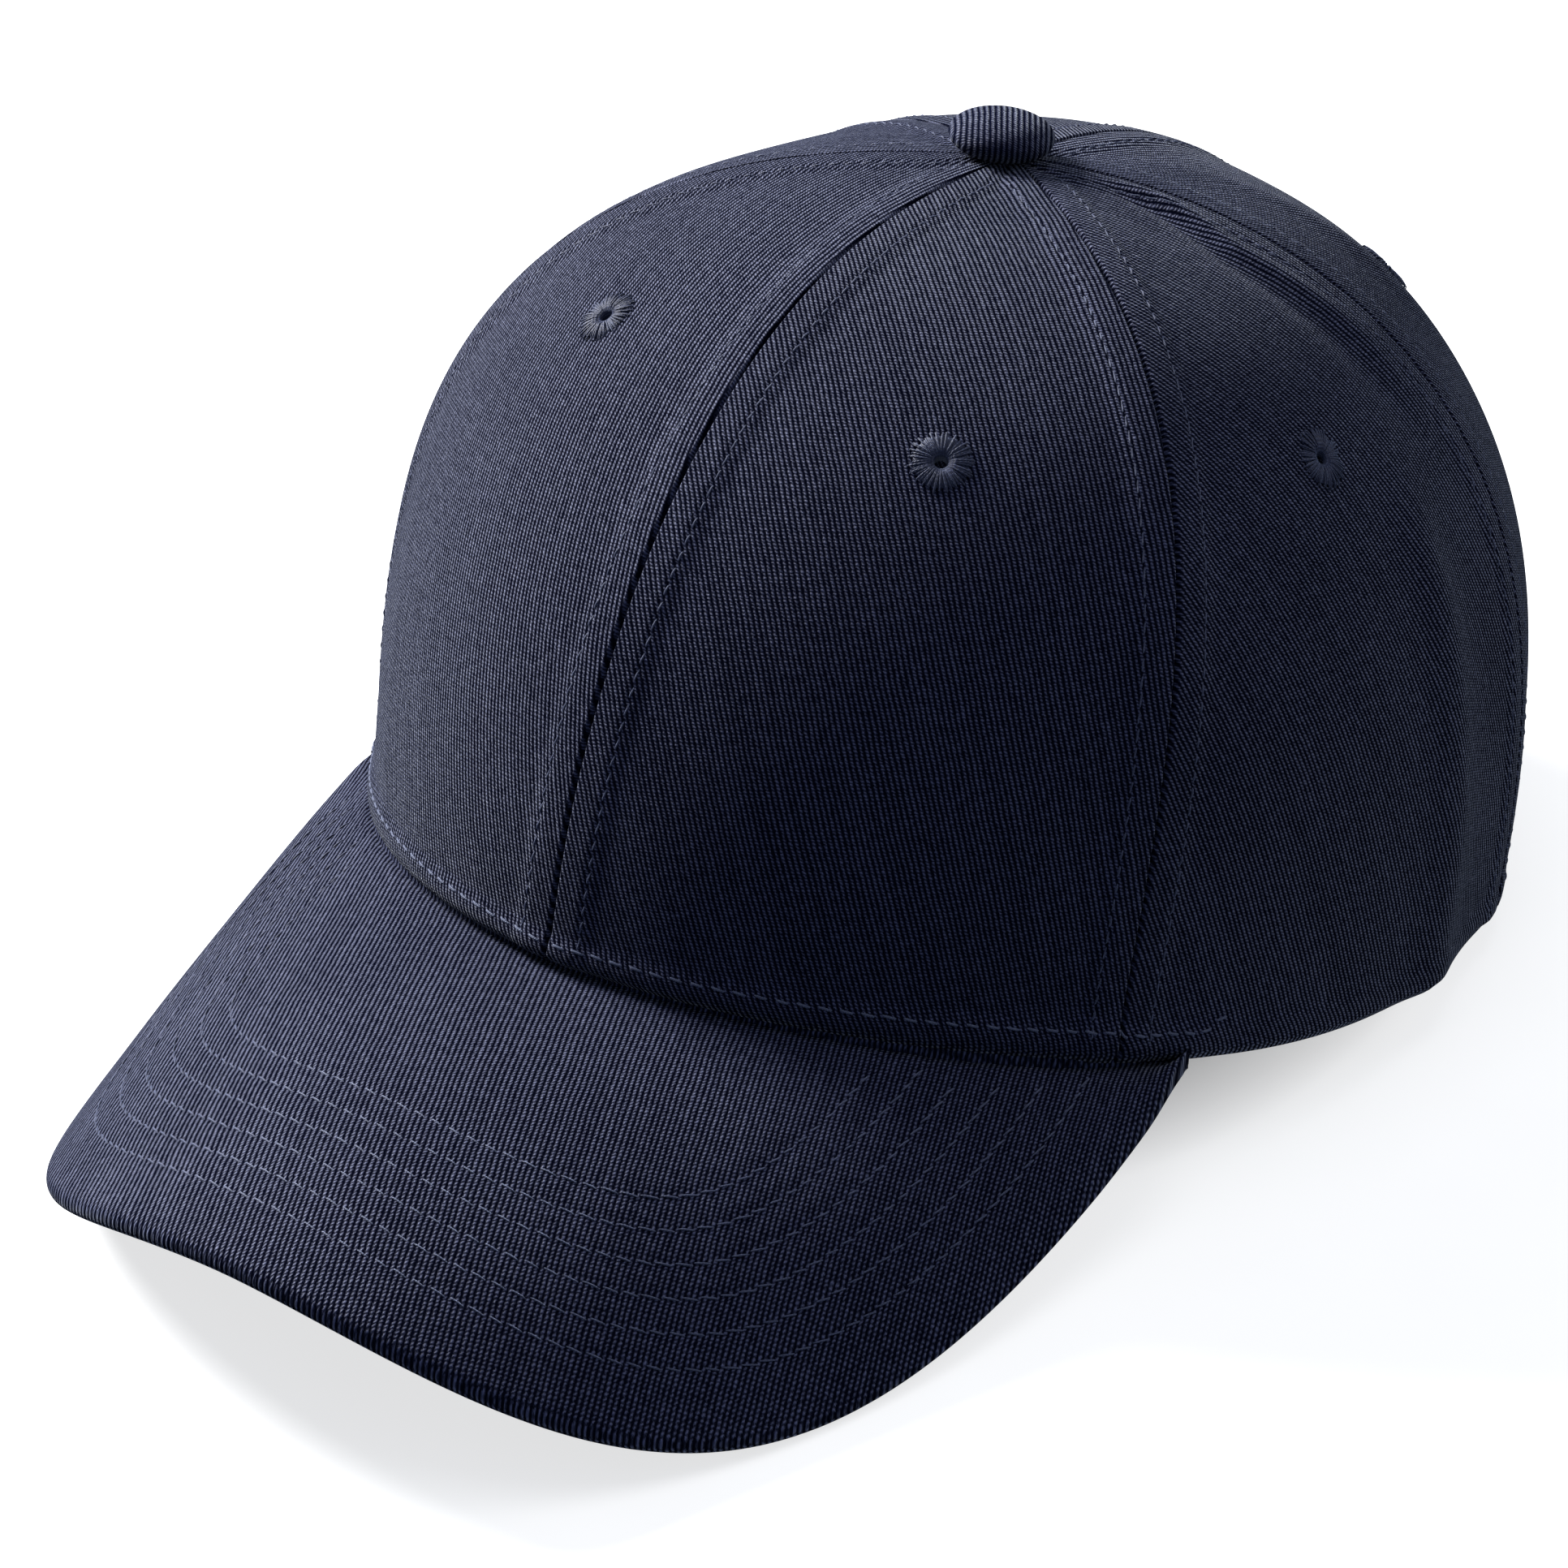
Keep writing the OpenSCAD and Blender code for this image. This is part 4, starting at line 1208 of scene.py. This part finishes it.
# ---- stage, light and camera ----
def towards(azimuth, elevation):
    """From the cap to a lamp or a camera."""
    a, e = math.radians(azimuth), math.radians(elevation)
    return Vector((math.sin(a) * math.cos(e), -math.cos(a) * math.cos(e), math.sin(e)))


def area_light(name, azimuth, elevation, distance, size, watts):
    """A round soft light that looks at the cap."""
    aim = Vector((0, 0, 0.05))
    at = aim + towards(azimuth, elevation) * distance
    light = bpy.data.lights.new(name, "AREA")
    light.shape = "DISK"
    light.size = size
    light.energy = watts
    obj = add_object(name, light)
    obj.location = at
    obj.rotation_euler = (aim - at).to_track_quat("-Z", "Y").to_euler()


def stage():
    """A pale floor that glows, with a painted shadow where its glow fades out under and round the cap, a
    bluish sky and three lights.
    """
    low = CAD_BOX[0][2]
    mesh = bpy.data.meshes.new("floor")
    mesh.from_pydata([(-6, -6, low), (6, -6, low), (6, 6, low), (-6, 6, low)], [], [(0, 1, 2, 3)])
    n = Nodes("floor_paper")
    place = n.place()
    grain = n.noise(place, 40.0, 4.0)
    tint = n.blend(grain, [0.38, 0.38, 0.38, 1], [0.42, 0.42, 0.42, 1])
    # painted shadow: the floor's glow is nothing within half of an ellipse about the cap's footprint and
    # rises to full at 0.95 of it, so the floor under and beside the cap is darkened by paint
    centre = n.vector_math("SUBTRACT", {0: place, 1: (0.0, 0.033, low)})
    shares = n.vector_math("DIVIDE", {0: centre, 1: (0.083, 0.101, 1.0)})
    away = n.vector_math("LENGTH", {0: shares}).outputs["Value"]
    glow_with_painted_shadow = n.times(n.ramp(away, 0.5, 0.95), 0.72)
    mesh.materials.append(n.finish(tint, 0.9, Emission_Color=[1, 1, 1, 1], Emission_Strength=glow_with_painted_shadow))
    floor = add_object("floor", mesh)
    floor.visible_diffuse = False
    floor.visible_glossy = False
    world = bpy.data.worlds.new("studio")
    bpy.context.scene.world = world
    world.use_nodes = True
    sky = world.node_tree.nodes["Background"]
    sky.inputs[0].default_value = (0.66, 0.78, 1.0, 1)
    sky.inputs[1].default_value = 0.38
    area_light("key", -91, 34, 1.6, 0.7, 104)
    area_light("top", 0, 85, 1.6, 1.0, 7)
    area_light("rim", 140, 35, 1.7, 0.8, 7)


def camera():
    """The photograph's camera, turned a little about its own axis."""
    target, distance, roll = Vector((0.00034, -0.00885, 0.04041)), 0.7951, math.radians(0.83)
    back = towards(35.1, 31.18)
    data = bpy.data.cameras.new("camera")
    data.sensor_width = 36.0
    data.lens = 120.49
    data.clip_start = 0.01
    data.clip_end = 20
    cam = add_object("camera", data)
    cam.matrix_world = (Matrix.Translation(target + back * distance)
                        @ back.to_track_quat("Z", "Y").to_matrix().to_4x4()
                        @ Matrix.Rotation(roll, 4, "Z"))
    bpy.context.scene.camera = cam


# ---- build ----
for panel_index in range(3):
    for side_sign in SIDES:
        panel_piece(panel_index, side_sign)
for side_sign in SIDES:
    stiffener_piece(side_sign)
crown_stitches()
rim_stitches()
tapes()
sweatband_piece()
visor_cover(1, "visor_top_cover")
visor_cover(-1, "visor_under_cover")
visor_stitches()
button_piece()
eyelets = [eyelet_piece(j, side) for j in range(3) for side in SIDES]
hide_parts("eyelets")
binding_piece()
strap_piece()
keeper_piece()
dress_nodes()
stage()
camera()
bpy.context.scene.view_settings.view_transform = "Standard"
